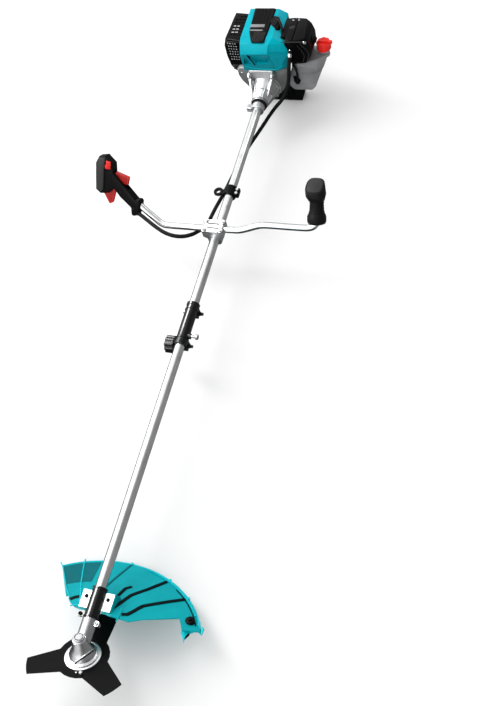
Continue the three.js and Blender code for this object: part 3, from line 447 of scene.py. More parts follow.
def carved(bm, *tools, mode="DIFFERENCE"):
    """The first solid less the tools, or what it shares with them."""
    base = scratch(bm)
    others = [scratch(t) for t in tools]
    for other in others:
        m = base.modifiers.new("b", "BOOLEAN")
        m.object, m.operation, m.solver = other, mode, "EXACT"
    dg = bpy.context.evaluated_depsgraph_get()
    result = bmesh.new()
    result.from_mesh(base.evaluated_get(dg).to_mesh())
    for o in (base, *others):
        mesh = o.data
        bpy.data.objects.remove(o)
        bpy.data.meshes.remove(mesh)
    bmesh.ops.remove_doubles(result, verts=result.verts, dist=1e-3)
    return result


def piece(name, form, where, look, body="frame", replaces=(), smooth=35):
    """A named, shaded piece of one mesh or several, on its body, in the look it is given."""
    bm = form if isinstance(form, bmesh.types.BMesh) else joined(*form)
    bm.transform(where)
    mesh = bpy.data.meshes.new(name)
    bm.to_mesh(mesh)
    bm.free()
    mesh.shade_smooth()
    mesh.set_sharp_from_angle(angle=math.radians(smooth))
    mesh.materials.append(look)
    o = put(name, mesh)
    if body:
        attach(o, body)
    if replaces:
        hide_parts(*replaces)
    return o


def numbered(name, parts, where, look):
    """Pieces of one kind, as name_1, name_2 and so on."""
    for i, part in enumerate(parts):
        piece(f"{name}_{i + 1}", part, where, look)


# ---- the CAD nodes that stay: rounded edges, smooth curved faces and their finish ----
NODE_SLOT = {s["node"]: s["material_slot"] for s in frame["record"]["subparts"]}
NODE_LOOK = {
    "coupler_body": GLOSS_BLACK, "guard_saddle": GLOSS_BLACK, "harness_clamp": BLACK,
    "coupler_knob": KNOB_BLACK, "coupler_pin": PIN_STEEL, "handlebar": BAR, "guard": GUARD_TEAL,
    "throttle_trigger": RED_DEEP, "lockout_lever": RED_DEEP, "gear_case": GEAR_CAST,
    # the fan housing's dark grey is painted shade, for its face turned from the light
    "fan_housing": GREY_CASTING_AND_SHADE, "flywheel": GREY_CASTING_AND_SHADE, "crankcase": GREY_CASTING_AND_SHADE, "cylinder": GREY_CASTING_AND_SHADE,
    "carburettor": GREY_CASTING_AND_SHADE,
}
USUAL_EDGE = 0.0005
EDGE = {name: width for width, names in {  # edge rounding in metres, where it isn't the usual
    0.0: ("handlebar", "throttle_cable"),
    0.0004: ("blade", "upper_tube", "lower_tube"),
    0.0008: ("guard", "gear_case", "trigger_grip_front", "trigger_grip_rear"),
    0.0012: ("coupler_knob", "throttle_trigger", "lockout_lever", "stop_switch"),
    0.0015: ("fuel_cap", "harness_clamp"), 0.0018: ("fan_housing",),
    0.002: ("bar_clamp_base", "bar_clamp_cap"), 0.003: ("stand",),
}.items() for name in names}


def dress(name, node):
    mesh = node.data
    for attribute in ("custom_normal", "sharp_edge"):
        if attribute in mesh.attributes:
            mesh.attributes.remove(mesh.attributes[attribute])
    mesh.shade_smooth()
    weld = node.modifiers.new("weld", "WELD")
    weld.merge_threshold = 2e-6
    flat = node.modifiers.new("flat", "DECIMATE")
    flat.decimate_type = "DISSOLVE"
    flat.angle_limit = math.radians(0.8)
    width = EDGE.get(name, USUAL_EDGE)
    if width:
        bevel = node.modifiers.new("bevel", "BEVEL")
        bevel.width, bevel.segments = width, 2
        bevel.limit_method, bevel.angle_limit = "ANGLE", math.radians(34)
        bevel.harden_normals = True
        bevel.use_clamp_overlap = True
    mesh.materials.clear()
    mesh.materials.append(NODE_LOOK.get(name, SLOT_LOOKS[NODE_SLOT[name]][0]))


for node_name, node_object in frame["nodes"].items():
    dress(node_name, node_object)


# ---- fastenings ----
def screw(radius, head, socket="hex"):
    """A screw head standing on z = 0, with its drive cut into the top."""
    body = lathe([(0, 0), (radius, 0), (radius, head * 0.7), (radius * 0.82, head), (0, head)], 28)
    key = ring_of(radius * 0.5, 6)
    if socket == "slot":
        half = radius * 0.14
        key = [(-radius, -half), (radius, -half), (radius, half), (-radius, half)]
    return carved(body, raised(key, head * 0.35, head + 1))


def screws(radius, head, places, way):
    """Screws of one size, whose heads all face the same way."""
    return [placed(screw(radius, head), at, Vector(at) + Vector(way)) for at in places]


def hexagon(radius, low, high, bevel=0.4):
    return raised(ring_of(radius, 6), low, high, bevel)


def moved(x, y, z=0):
    return Matrix.Translation((x, y, z))


def turned(bm, matrix):
    bm.transform(matrix)
    return bm


def placed(bm, start, towards):
    """Moves a part that stands on z = 0 so that it stands on `start` and points to `towards`."""
    return turned(bm, aim(start, towards))


def bead(inner, outer, y, half, slope=0.8, to=ALONG):
    """A raised ring round an axis, with sloped sides."""
    return lathe([(inner, y - half), (outer, y - half + slope), (outer, y + half - slope), (inner, y + half)],
                 48, to)


def through_bolt(x, y, half, nut):
    """The head and the nut of a bolt along Z, each `half` from its middle."""
    return [placed(screw(4.6, 4), (x, y, half), (x, y, half + 1)),
            placed(hexagon(4.8, 0, nut), (x, y, -half), (x, y, -half - 1))]


# ---- shaft, clamps and coupler ----
CABLE_ROUTE = [
    (95, 593, 120), (94, 582, 108), (91, 572, 88), (87, 565, 60), (81, 558, 28), (70, 548, 0), (56, 534, -22),
    (40, 518, -34), (28, 485, -36), (20, 448, -34), (11, 407, -31), (-1, 356, -28), (-8, 323, -27),
    (-16, 270, -26), (-24, 215, -26), (-31, 165, -26), (-37, 130, -25), (-42, 98, -24), (-46, 60, -22),
    (-50, 28, -12), (-54, 4, 4), (-64, -16, 14), (-83, -32, 23), (-107, -38, 30), (-133, -35, 36),
    (-160, -24, 42), (-186, -10, 48), (-212, 5, 53), (-226, 12, 57),
]
BAR_ROUTE = [
    (-262, 84, 0), (-225, 56, 0), (-190, 28, 0), (-172, 14, 0), (-160, 5, 0), (-147, 0.7, 0), (-130, 0, 0),
    (-60, 0, 0), (0, 0, 0), (60, 0, 0), (76, 1.5, 0), (92, 6, 0), (122, 16, 0), (137, 19.5, 0),
    (152, 20.5, 0), (250, 20.5, 0), (268, 21.5, 0), (281, 25.5, 0), (289, 33, 0), (292, 43, 0),
    (292, 80, 0), (292, 112, 0),
]
COUPLER_BOLT_Z = -23
CLAMP_SCREWS = [(x, y) for x in (-24, 24) for y in (-15, 15)]
HARNESS_SCREWS = [143.5, 156.5]
PLATE_SCREWS = [(-27, -1044), (27, -1044)]


def shaft_pieces():
    piece("cable_sleeve", tube(CABLE_ROUTE, 5.6, 16, 0.16), SHAFT, RUBBER, replaces=["throttle_cable"])
    collar = [rod(4.2, (94.4, 588, 115.5), (95, 594, 121), 20, 1),
              rod(6.6, (93.6, 580, 105.5), (94.3, 587, 114), 20, 1)]
    piece("cable_adjuster", collar, SHAFT, STEEL)
    piece("handlebar_tube", tube(BAR_ROUTE, 9, 28, 0.22), ARMS, BAR, replaces=["handlebar"])

    nuts = ([placed(hexagon(6.2, 0, 5.5), (13, y, COUPLER_BOLT_Z), (14, y, COUPLER_BOLT_Z)),
             rod(4.4, (18, y, COUPLER_BOLT_Z), (25.5, y, COUPLER_BOLT_Z), 20, 1.6)]
            for y in (-249, -351))
    numbered("coupler_nut", nuts, SHAFT, GLOSS_BLACK)
    piece("coupler_bolt_head", placed(screw(5, 4.4), (-16.5, -262, 3), (-18.5, -262, 3.4)), SHAFT, STEEL)
    piece("coupler_beads", [bead(16.4, 18.1, y, 2) for y in (-255, -345)], SHAFT, GLOSS_BLACK)
    cap = lathe([(0, 20), (13, 20), (13, 27.2), (11, 28), (6, 28), (5, 27), (0, 27)], 40,
                aim((-22, -351, COUPLER_BOLT_Z), (-23, -351, COUPLER_BOLT_Z)))
    piece("knob_face", cap, SHAFT, BLACK, "knob")

    lugs = ([lathe([(0, 34), (7.5, 34), (7.5, 38.6), (6.8, 39.4), (0, 39.4)], 32, moved(x, y)),
             placed(screw(5.2, 4.6), (x, y, 39.4), (x, y, 41))] for x, y in CLAMP_SCREWS)
    numbered("bar_clamp_screw", lugs, SHAFT, CAST)
    ribs = (block((-17, 17), (y - 1.6, y + 1.6), (36, 40), 0.8) for y in (-13, 0, 13))
    piece("bar_clamp_ribs", ribs, SHAFT, CAST)
    # painted shade: near-black strips in the clamp's gaps, between the ribs and round the screw lugs
    gaps = [*(block((-17, 17), (y - 1.5, y + 1.5), (37, 39), 0.3) for y in (-7, 7)),
            *(lathe([(7.4, 37), (8.7, 37), (8.7, 38.4), (7.4, 38.4)], 32, moved(x, y))
              for x, y in CLAMP_SCREWS)]
    piece("bar_clamp_gaps", gaps, SHAFT, BLACK_STEEL_AND_GAP_SHADE)

    heads = screws(4.4, 3.6, [(20.5, y, 7) for y in HARNESS_SCREWS], (0, 0, 1))
    numbered("harness_screw", heads, SHAFT, STEEL)
    nuts = (placed(hexagon(4.6, 0, 3.4), (20.5, y, -7), (20.5, y, -8)) for y in HARNESS_SCREWS)
    numbered("harness_nut", nuts, SHAFT, STEEL)
    piece("saddle_bolt", through_bolt(-26, -1086, 4, 4), SHAFT, BLACK_STEEL_AND_GAP_SHADE)
    piece("saddle_rims", [bead(16.8, 18.4, y, 2.2) for y in (-1089.5, -1022.5)], SHAFT, GLOSS_BLACK)
    washers = (lathe([(2, 0), (6.4, 0), (6.4, 0.9), (2, 0.9)], 32, moved(x, y, -1)) for x, y in PLATE_SCREWS)
    numbered("plate_washer", washers, SHAFT, ZINC)
    slant = Matrix.Rotation(math.radians(35), 4, "Z")
    heads = (turned(screw(4.6, 2.6, "slot"), moved(x, y, -0.1) @ slant) for x, y in PLATE_SCREWS)
    numbered("plate_screw", heads, SHAFT, BLACK_STEEL_AND_GAP_SHADE)


# ---- guard: a moulded fan with ribs, in the frame of the spindle ----
GUARD_X = -16
GUARD_HEIGHT = [(60, 38), (87, 38), (160, 25), (282, -13), (284, -17), (300, -22)]


def guard_point(radius, degrees, lift=0.0):
    height = np.interp(radius, *zip(*GUARD_HEIGHT)) + lift
    a = math.radians(degrees)
    return Vector((GUARD_X + radius * math.sin(a), radius * math.cos(a), height))


def guard_strip(route, width, thick):
    """A rib that lies on the guard along (radius, degrees) points, its top edges sloped."""
    section = [(-1, -1.0), (-1, thick * 0.6), (-0.7, thick), (0.7, thick), (1, thick * 0.6), (1, -1.0)]
    line = []
    for (r0, a0), (r1, a1) in zip(route, route[1:]):
        count = max(2, int(abs(r1 - r0) / 4 + abs(a1 - a0)))
        line += [(r0 + (r1 - r0) * k / count, a0 + (a1 - a0) * k / count) for k in range(count)]
    line.append(route[-1])
    bm = bmesh.new()
    rings = []
    for i in range(len(line)):
        near = (i, min(i + 1, len(line) - 1), max(i - 1, 0))
        here, ahead, behind = (guard_point(*line[k]) for k in near)
        way = (ahead - behind).normalized()
        side = way.cross(Vector((0, 0, 1))).normalized()
        ring = []
        for across, lift in section:
            p = here + side * across * width / 2
            radius = math.hypot(p.x - GUARD_X, p.y)
            p.z = np.interp(radius, *zip(*GUARD_HEIGHT)) + lift
            ring.append(bm.verts.new(p))
        rings.append(ring)
    return skinned(bm, rings)


def arc(radius, start, end):
    return [(radius, start + (end - start) * k / 24) for k in range(25)]


def guard_pieces():
    # Ribs 1 to 4 are raised, and their near-black colour is painted shade along them.
    dark = [
        ("guard_rib_1", [(102, 29), (133, 27.2), (173, 24.7), (216, 25.8), (274, 26.1)], 9, 2.2),
        ("guard_rib_2", [(118, 43.2), (130, 45.4), (173, 40.4), (217, 41.1), (276, 42.2)], 9, 2.2),
        ("guard_rib_3", [(110, 20), (138, 17), (155, 17.3), (181, 15.2), (197, 16.9)], 8, 1.8),
        ("guard_rib_4", [(113, -30), (118, -24), (120, -18)], 11, 1.4),
    ]
    for name, route, width, thick in dark:
        piece(name, guard_strip(route, width, thick), HEAD, GUARD_PAINTED_DEEP_SHADE)
    # rib 5 is raised, and its dark teal is painted shade
    piece("guard_rib_5", guard_strip([(150, 0.4), (282, 2.4)], 6, 1.6), HEAD, GUARD_PAINTED_SHADE)
    fine = [
        guard_strip([(99, -17.3), (174, -21.2), (230, -22.2), (300, -22.8)], 3.2, 2.6),
        guard_strip([(118, -30.5), (160, -33), (284, -33.8), (306, -34.4)], 3.0, 2.6),
        guard_strip([(94, 33), (118, 25)], 2.2, 2.6),
        guard_strip([(100, 52), (126, 35)], 2.2, 2.6),
    ]
    # the fine ribs are raised, and their light teal is painted highlight
    piece("guard_fine_ribs", fine, HEAD, GUARD_PALE_AND_HIGHLIGHT)
    # painted shade: a dark band on the guard's slope, where it faces away from the light
    piece("guard_painted_shade_band", guard_strip(arc(228, -33.2, -13.5), 96, 0.7), HEAD, GUARD_PAINTED_SHADE)
    # the rim beads' light teal is painted highlight
    rims = (tube([guard_point(r, a, lift) for a in np.linspace(start, end, count)], thick, sides, 0)
            for r, lift, start, end, count, thick, sides in
            ((282.6, 0.4, -33.5, 62.5, 90, 2.2, 10), (88, 0.6, -30, 30, 40, 1.6, 8)))
    piece("guard_rim", rims, HEAD, GUARD_PALE_AND_HIGHLIGHT)
    knobs = (rod(4.2, guard_point(283, a, -3), guard_point(283, a, 5), 20, 1.4) for a in (26.1, 42.2, 2.4))
    piece("guard_knobs", knobs, HEAD, GUARD_PALE_AND_HIGHLIGHT)
    # painted highlight: a light strip along the rim
    piece("guard_step", guard_strip(arc(278, 12, 55), 4, 3.2), HEAD, GUARD_PALE_AND_HIGHLIGHT)
    # painted shade: a dark strip inside the rim, where a groove's shade falls
    piece("guard_rim_groove", guard_strip(arc(273.5, 34, 61), 2.6, 1.4), HEAD, GUARD_PAINTED_DEEP_SHADE)
    claw = raised([(203, 131), (197, 121), (193.5, 112), (199, 104), (211.5, 84), (208.5, 101), (212, 112),
                   (222, 120), (228, 131), (216, 128)], -19, -14, 1, 2)
    piece("cutter_claw", claw, HEAD, GUARD_PALE_AND_HIGHLIGHT)
    bolt = [lathe([(0, -12), (11.5, -12), (11.5, -3), (9.5, -0.5), (6.5, 0.4), (0, 0.4)], 36,
                  moved(207, 140)),
            placed(hexagon(5.5, 0, 3.6), (207, 140, 0.4), (207, 140, 1))]
    piece("cutter_bolt", bolt, HEAD, BLACK)
    near = [(222, 150, -15, -10), (229, 148, -15, -10), (224, 128, -18, -14), (228, 128, -18, -14)]
    far = [(236, 138, -17, -12), (243, 134, -17, -12), (239, 118, -20, -16), (243, 118, -20, -16)]
    piece("guard_prongs", [slab(near, 0.8), slab(far, 0.8)], HEAD, GUARD_PALE_AND_HIGHLIGHT)


# ---- gear head ----
SEAM = [(-4.3, -30.1, -16.5), (2.2, -28, -10.8), (7.7, -24.6, -6.9), (12.6, -20.4, -4.1), (17.1, -15.6, -1.9),
        (20.8, -9.7, -1.3), (23.3, -2.1, -2.7), (24.5, 7.2, -6.6)]


def head_pieces():
    plug = lathe([(0, 33.6), (11.4, 33.6), (11.4, 34.4), (10.6, 35.2), (8.2, 35.2), (7.6, 34.6), (0, 34.6)])
    piece("head_cap", plug, HEAD, CAST_DULL)
    rings = [lathe([(13, 26.6), (15.4, 26.2), (15.8, 28.4), (14.6, 29.4), (13, 29.2)], 56),
             lathe([(34.6, -20.6), (36.6, -20.2), (36.9, -19.4), (35.8, -18.9), (34.4, -19.2)], 72)]
    piece("head_rings", rings, HEAD, CAST)
    # painted shade: dark rings beside the cap and the raised rings
    lines = [lathe([(8.9, 34), (9.9, 34), (9.9, 35.5), (8.9, 35.5)], 48),
             lathe([(12, 24.4), (15.3, 24.4), (15.1, 25.6), (12, 25.6)], 56),
             lathe([(30, -19.6), (32.3, -20.4), (32.3, -19.3), (30, -18.6)], 72)]
    piece("head_lines", lines, HEAD, BLACK_STEEL_AND_GAP_SHADE)
    seam = [Vector(p) for p in SEAM]
    out = [Vector((p.x, p.y, 0)).normalized() for p in seam]
    ridge = tube([p + way * 0.5 for p, way in zip(seam, out)], 1.7, 12, 0.5)
    # painted shade: a dark line in the groove under the ridge
    groove = tube([p + way * 2.0 + Vector((0, 0, -2.9)) for p, way in zip(seam, out)], 1.2, 10, 0.5)
    piece("head_ridge", ridge, HEAD, CAST)
    piece("head_groove", groove, HEAD, BLACK_STEEL_AND_GAP_SHADE)
    clamp = placed(screw(4.4, 4), (20, *head_along(56, 6.5)), (20, *head_along(56, 9)))
    piece("head_clamp_screw", clamp, HEAD, CAST_DULL)
    studs = [rod(4.2, (19, -47, -27.4), (19, -47, -20), 20, 1.2),
             rod(2.4, (8, -48, -27.4), (8, -48, -23), 14, 0.8)]
    piece("holder_studs", studs, HEAD, CAST_DULL, "cutter")


def head_along(distance, lift):
    """A point on the shaft axis in the spindle's frame, raised off the axis."""
    c, s = math.cos(HEAD_TILT), math.sin(HEAD_TILT)
    return distance * c - lift * s, distance * s + lift * c


# ---- trigger grip and plain grip, in the plane of the arms ----
SWITCH_AT = (-304, 163)
TRIGGER_AT = (-318, 108)
LOCKOUT_AT = (-290, 128)
POST_X = 292


def grip_pieces():
    panel = raised([(-334, 180), (-326, 187), (-307, 186), (-314, 154), (-323, 97), (-332, 88), (-344, 97),
                    (-338, 145)], 9, 18.2, 3, 3)
    piece("grip_panel", panel, ARMS, GREY_BLACK_AND_EDGE_HIGHLIGHT)
    edge = tube([(-307, 187, 16), (-312.5, 154, 17.4), (-322, 97, 17.4), (-331, 86.5, 15)], 1.4, 8, 0.3)
    piece("grip_bead", edge, ARMS, BLACK)
    heads = ([lathe([(2.6, 0), (5, 0), (5, 0.9), (4.4, 1.3), (3, 0.8)], 28, moved(x, y, 16.8)),
              placed(screw(2.7, 1.4, "slot"), (x, y, 16.6), (x, y, 17))]
             for x, y in ((-300, 135), (-233, 50), (-270, 96)))
    numbered("grip_screw", heads, ARMS, BLACK)
    turn = moved(*SWITCH_AT, 12) @ Matrix.Rotation(math.radians(-35), 4, "Z")
    ribs = (block((1.2, 5.6), (y - 0.7, y + 0.7), (4.6, 7.4 - abs(y) * 0.2), 0.3)
            for y in (-7.4, -5, -2.6, 0, 2.6, 5, 7.4))
    inlay = raised([(1, -8.4), (6, -8.4), (6, 8.4), (1, 8.4)], 3, 6.2, 0.4)
    piece("switch_ribs", [*ribs, inlay], ARMS @ turn, RED_DARK, "switch")
    pull = moved(*TRIGGER_AT)
    lines = (tube([(x0, y, 5), (x1, y, 5)], 0.8, 6, 0) for y, x0, x1 in
             ((-20, -5, 23), (-26, -4, 20), (-32, -1, 19), (-38, 1, 17), (-44, 3, 15)))
    inlay = raised([(-3, -8), (-5, -24), (5, -48), (12, -46), (22, -18), (15, -8)], 4, 5.5, 0.4)
    piece("trigger_panel", inlay, ARMS @ pull, RED_DARK, "trigger")
    piece("trigger_ribs", lines, ARMS @ pull, RED, "trigger")
    press = moved(*LOCKOUT_AT)
    marks = (tube([(x, y0, 5), (x + 1.5, y1, 5)], 0.7, 6, 0) for x, y0, y1 in
             ((18, -5, 11), (23, -8, 9), (28, -11, 7), (33, -13, 5), (38, -14, 3)))
    inlay = raised([(8, 14), (40, 2.5), (35.5, -14), (29, -13), (12, -3)], 4, 5.4, 0.4)
    piece("lockout_panel", inlay, ARMS @ press, RED_DARK, "lockout")
    piece("lockout_ribs", marks, ARMS @ press, RED, "lockout")
    cap = moved(*SWITCH_AT)
    rocker = slab([(0, 17, 20, 22.2), (14, 14.5, 20.2, 22.2), (11, -7, 18.4, 21.2), (-1, -5, 18.4, 21.2)],
                  0.9, 2)
    piece("switch_cap", rocker, ARMS @ cap, RED, "switch")
    steps = (tube([(2, y, 21.6 + y / 22), (10 + y * 0.2, y - 1.4, 21.5 + y / 22)], 0.6, 6, 0)
             for y in (-2, 2.5, 7, 11.5))
    piece("switch_steps", steps, ARMS @ cap, RED_DARK, "switch")


def plain_grip():
    """The soft grip: a collar, a waist, and a wide head whose end is cut on the slant."""
    post = moved(POST_X, 0) @ ALONG
    stem = lathe([(9.3, 36), (20, 36), (24, 38), (25.6, 43), (25.6, 56), (22.4, 63), (19.6, 70), (18.6, 90),
                  (19.6, 110), (9.3, 110)], 56, post)
    squared = [tuple(math.copysign(abs(v) ** 0.7, v) for v in at) for at in ring_of(1, 40)]
    low = [(POST_X + 20 * c, 98, 20 * s) for c, s in squared]
    wide = [(POST_X - 2 + 26 * c, 114 - 5 * s, 1 + 24.5 * s) for c, s in squared]
    end = [(POST_X - 5 + 25 * c, 138 - 16 * s, 1 + 24 * s) for c, s in squared]
    head = hull([*low, *wide, *end], 2, 3)
    piece("soft_grip", [stem, head], ARMS, RUBBER, replaces=["grip_left"], smooth=40)
    # painted highlight: a lighter grey pad on the grip's slanted end face
    pad = [(POST_X - 5 + 20.5 * c, 138.4 + lift - 13.3 * s, 1.4 + 20 * s + lift * 0.67)
           for c, s in squared for lift in (-1, 0.7)]
    piece("soft_grip_pad", hull(pad, 0.5, 2), ARMS, GREY_BLACK_AND_EDGE_HIGHLIGHT)
    rings = (bead(r - 1, r + 0.7, y, 1.4, 0.7, post)
             for r, y in ((20.2, 69), (19, 77), (18.6, 85), (18.8, 93)))
    piece("soft_grip_rings", rings, ARMS, RUBBER)


# ---- engine ----
def cover_corners(d):
    return [(-50 + d, 81 + d, 69 - d), (58 - d, 81 + d, 70 - d), (84 - d, 106 + d, 66 - d),
            (-53 + d, 85 + d, 126), (-46 + d, 83 + d, 131), (34 - d, 83 + d, 132), (88 - d, 112 + d, 112),
            (-50 + d, 98 + d, 157 - d), (38 - d, 97 + d, 157 - d), (80 - d, 122 + d, 138 - d),
            (-52 + d, 120, 162 - d), (46 - d, 120, 162 - d), (-52 + d, 243 - d, 162 - d),
            (38 - d, 243 - d, 162 - d), (63 - d, 243 - d, 146 - d), (-54 + d, 238 - d, 66 - d),
            (63 - d, 238 - d, 66 - d)]


FRONT_Y, FRONT_Z = 82, 69  # the foot of the cover's front face, which leans back as it rises
FRONT_LEAN = 2 / 63


def front_cut(outline, upper, lower):
    """A pocket in the front of the engine's cover: the outline lists (x, z), deeper towards its foot."""
    bm = bmesh.new()
    top, foot = max(z for x, z in outline), min(z for x, z in outline)
    near = [bm.verts.new((x, 60, z)) for x, z in outline]
    far = []
    for x, z in outline:
        depth = lower + (upper - lower) * (z - foot) / (top - foot)
        far.append(bm.verts.new((x, FRONT_Y + (z - FRONT_Z) * FRONT_LEAN + depth, z)))
    return skinned(bm, [near, far])


def top_cover():
    room = carved(hull(cover_corners(3)), block((-200, 200), (0, 96), (0, 300)))
    shell = carved(hull(cover_corners(0), 1.4, 2), block((-200, 200), (0, 300), (0, 66)),
                   block((-80, -30), (126, 228), (60, 140)), block((30, 120), (126, 222), (60, 132)),
                   block((78, 140), (118, 260), (50, 170)), block((64.4, 140), (134, 260), (122, 170)),
                   front_cut([(-27, 125), (36, 126.5), (31, 97), (-9, 94)], 0.6, 10),
                   front_cut([(-41, 119), (-33, 115), (-24, 92), (-47, 91)], 1, 10), room)
    piece("engine_cover", shell, ENGINE, TEAL, replaces=["top_cover"], smooth=14)
    # painted shade: a black strip fills the slot in the cover's front
    slot = ((-31, 128), (-28, 129), (-10, 91), (-13, 90))
    trim = hull([(x, y, z) for x, z in slot for y in (80.6, 90)], 0.4)
    piece("cover_slot", trim, ENGINE, BLACK)
    lip = tube([(-46, 82.4, 86), (-24, 81.4, 80), (0, 81, 77), (24, 81, 76), (56, 81.6, 78), (72, 94, 80)],
               1.6, 8, 0.3)
    ledge = hull([(x, y, z) for x, z in ((-46, 128), (34, 129), (-46, 133), (34, 134)) for y in (81.8, 89)],
                 0.8)
    edge = tube([(38, 82.6, 131), (56, 93, 126), (86, 111, 113)], 1.3, 8, 0.3)
    fold = tube([(38, 96.6, 156), (34.6, 83, 132), (40, 82, 104), (57, 81.6, 72)], 1.2, 8, 0.3)
    piece("cover_lips", [lip, ledge, edge, fold], ENGINE, TEAL)


def plug_cover():
    body = hull([(-12, 97, 160), (26, 97, 160), (-14, 100, 166), (24, 100, 166), (-31, 142, 160),
                 (30, 142, 160), (-29, 150, 167.6), (26, 150, 167.6), (-38, 241, 160), (31, 242, 160),
                 (-35, 239, 167.8), (27, 239, 167.8)], 2.6, 3)
    grooves = [block((x - 1, x + 1), (176, 230), (166.4, 172)) for x in (-24, -14, -4, 6, 16)]
    piece("plug_cap", carved(body, *grooves), ENGINE, BLACK, replaces=["plug_cover"])
    bars = [block((-30, 14), (157, 169), (165, 168.4), 1.6, 3),
            block((-27, 12), (141.5, 148), (163, 167.4), 1.4, 3)]
    piece("plug_cap_bars", bars, ENGINE, BAR_GREY)
    roof = np.interp(120, (97, 150), (166, 167.6)) + 0.3
    fine = (block((x - 0.8, x + 0.8), (102, 138), (160, roof), 0.3) for x in np.arange(-10, 24, 4.0))
    piece("plug_cap_ribs", fine, ENGINE, GREY_BLACK_AND_EDGE_HIGHLIGHT)
    foot = [(22, 216), (46, 210), (60, 180), (57, 160), (48, 152), (24, 176)]
    crown = [(28, 208, 165), (44, 204, 165), (54, 180, 163), (46, 160, 163), (28, 178, 165)]
    boot = hull([*((x, y, z) for x, y in foot for z in (146, 160)), *crown], 2)
    piece("plug_boot", boot, ENGINE, BLACK)
    ribs = (tube([(26 + 5 * i, 182 - 5 * i, 164.6), (36 + 4 * i, 206 - 6 * i, 165)], 1.6, 8, 0)
            for i in range(4))
    piece("plug_boot_ribs", ribs, ENGINE, GREY_BLACK_AND_EDGE_HIGHLIGHT)
    lead = tube([(40, 196, 163), (48, 190, 166), (58, 178, 164), (64, 164, 156), (66, 150, 146)],
                3.4, 12, 0.4)
    piece("plug_lead", lead, ENGINE, RUBBER)


def muffler_corners(d):
    return [(-54.4, 118 + d, 31 + d), (-54.4, 118 + d, 152 - d), (-54.4, 232 - d, 31 + d),
            (-54.4, 232 - d, 152 - d), (-94 + d, 120 + d, 31 + d), (-107 + d, 121 + d, 50),
            (-112 + d, 122 + d, 86), (-111 + d, 122 + d, 128), (-104 + d, 126 + d, 152 - d),
            (-92 + d, 230 - d, 31 + d), (-100 + d, 228 - d, 50), (-108 + d, 230 - d, 86),
            (-108 + d, 231 - d, 130), (-98 + d, 236 - d, 153 - d)]


def muffler_cover():
    top = (block((x - 4.6, x + 4.6), (y - 2.2, y + 2.2), (140, 160), 1.2)
           for x in (-87, -75.5, -64) for y in range(140, 219, 13) if not (x < -80 and y > 212))
    front = (rod(2.5, (x + 1.5 * (i % 2), 110, 136 - 10 * i), (x + 1.5 * (i % 2), 135, 136 - 10 * i), 12)
             for i in range(8) for x in range(-99, -66, 8))
    side = (block((-120, -90), (y - 4.5, y + 4.5), (z - 2.2, z + 2.2))
            for y in range(140, 205, 16) for z in range(62, 119, 14))
    shell = carved(hull(muffler_corners(0), 5, 3), hull(muffler_corners(2.5)),
                   block((-57, 0), (128, 224), (38, 144)), joined(*top), joined(*front), joined(*side))
    piece("exhaust_cover", shell, ENGINE, BLACK, replaces=["muffler_cover"], smooth=28)
    windows = joined(block((-100, -69), (146, 190), (120, 160)), block((-103, -70), (100, 132), (69, 139)))
    shield = carved(hull(muffler_corners(1.4)), windows, mode="INTERSECT")
    piece("heat_shield", shield, ENGINE, ZINC)
    louvres = (block((-103 + abs(z - 90) * 0.06, -56), (116.6, 121.5), (z - 1.1, z + 1.1), 0.7)
               for z in (40, 47, 54, 145))
    piece("exhaust_louvres", louvres, ENGINE, GREY_BLACK_AND_EDGE_HIGHLIGHT)
    edge = tube([(-56, 117.4, 150), (-97, 123, 149), (-106, 122, 128)], 1.2, 8, 0.3)
    piece("exhaust_edge", edge, ENGINE, GREY_BLACK_AND_EDGE_HIGHLIGHT)


def filter_corners(d):
    return [(104.4, 120 + d, 62 + d), (104.4, 120 + d, 153 - d), (104.4, 216 - d, 62 + d),
            (104.4, 216 - d, 153 - d), (132 - d, 122 + d, 62 + d), (148 - d, 130 + d, 82),
            (151 - d, 132 + d, 118), (146 - d, 130 + d, 142), (138 - d, 126 + d, 153 - d),
            (132 - d, 214 - d, 62 + d), (150 - d, 206 - d, 82), (151 - d, 206 - d, 118),
            (144 - d, 208 - d, 142), (128 - d, 214 - d, 153 - d)]


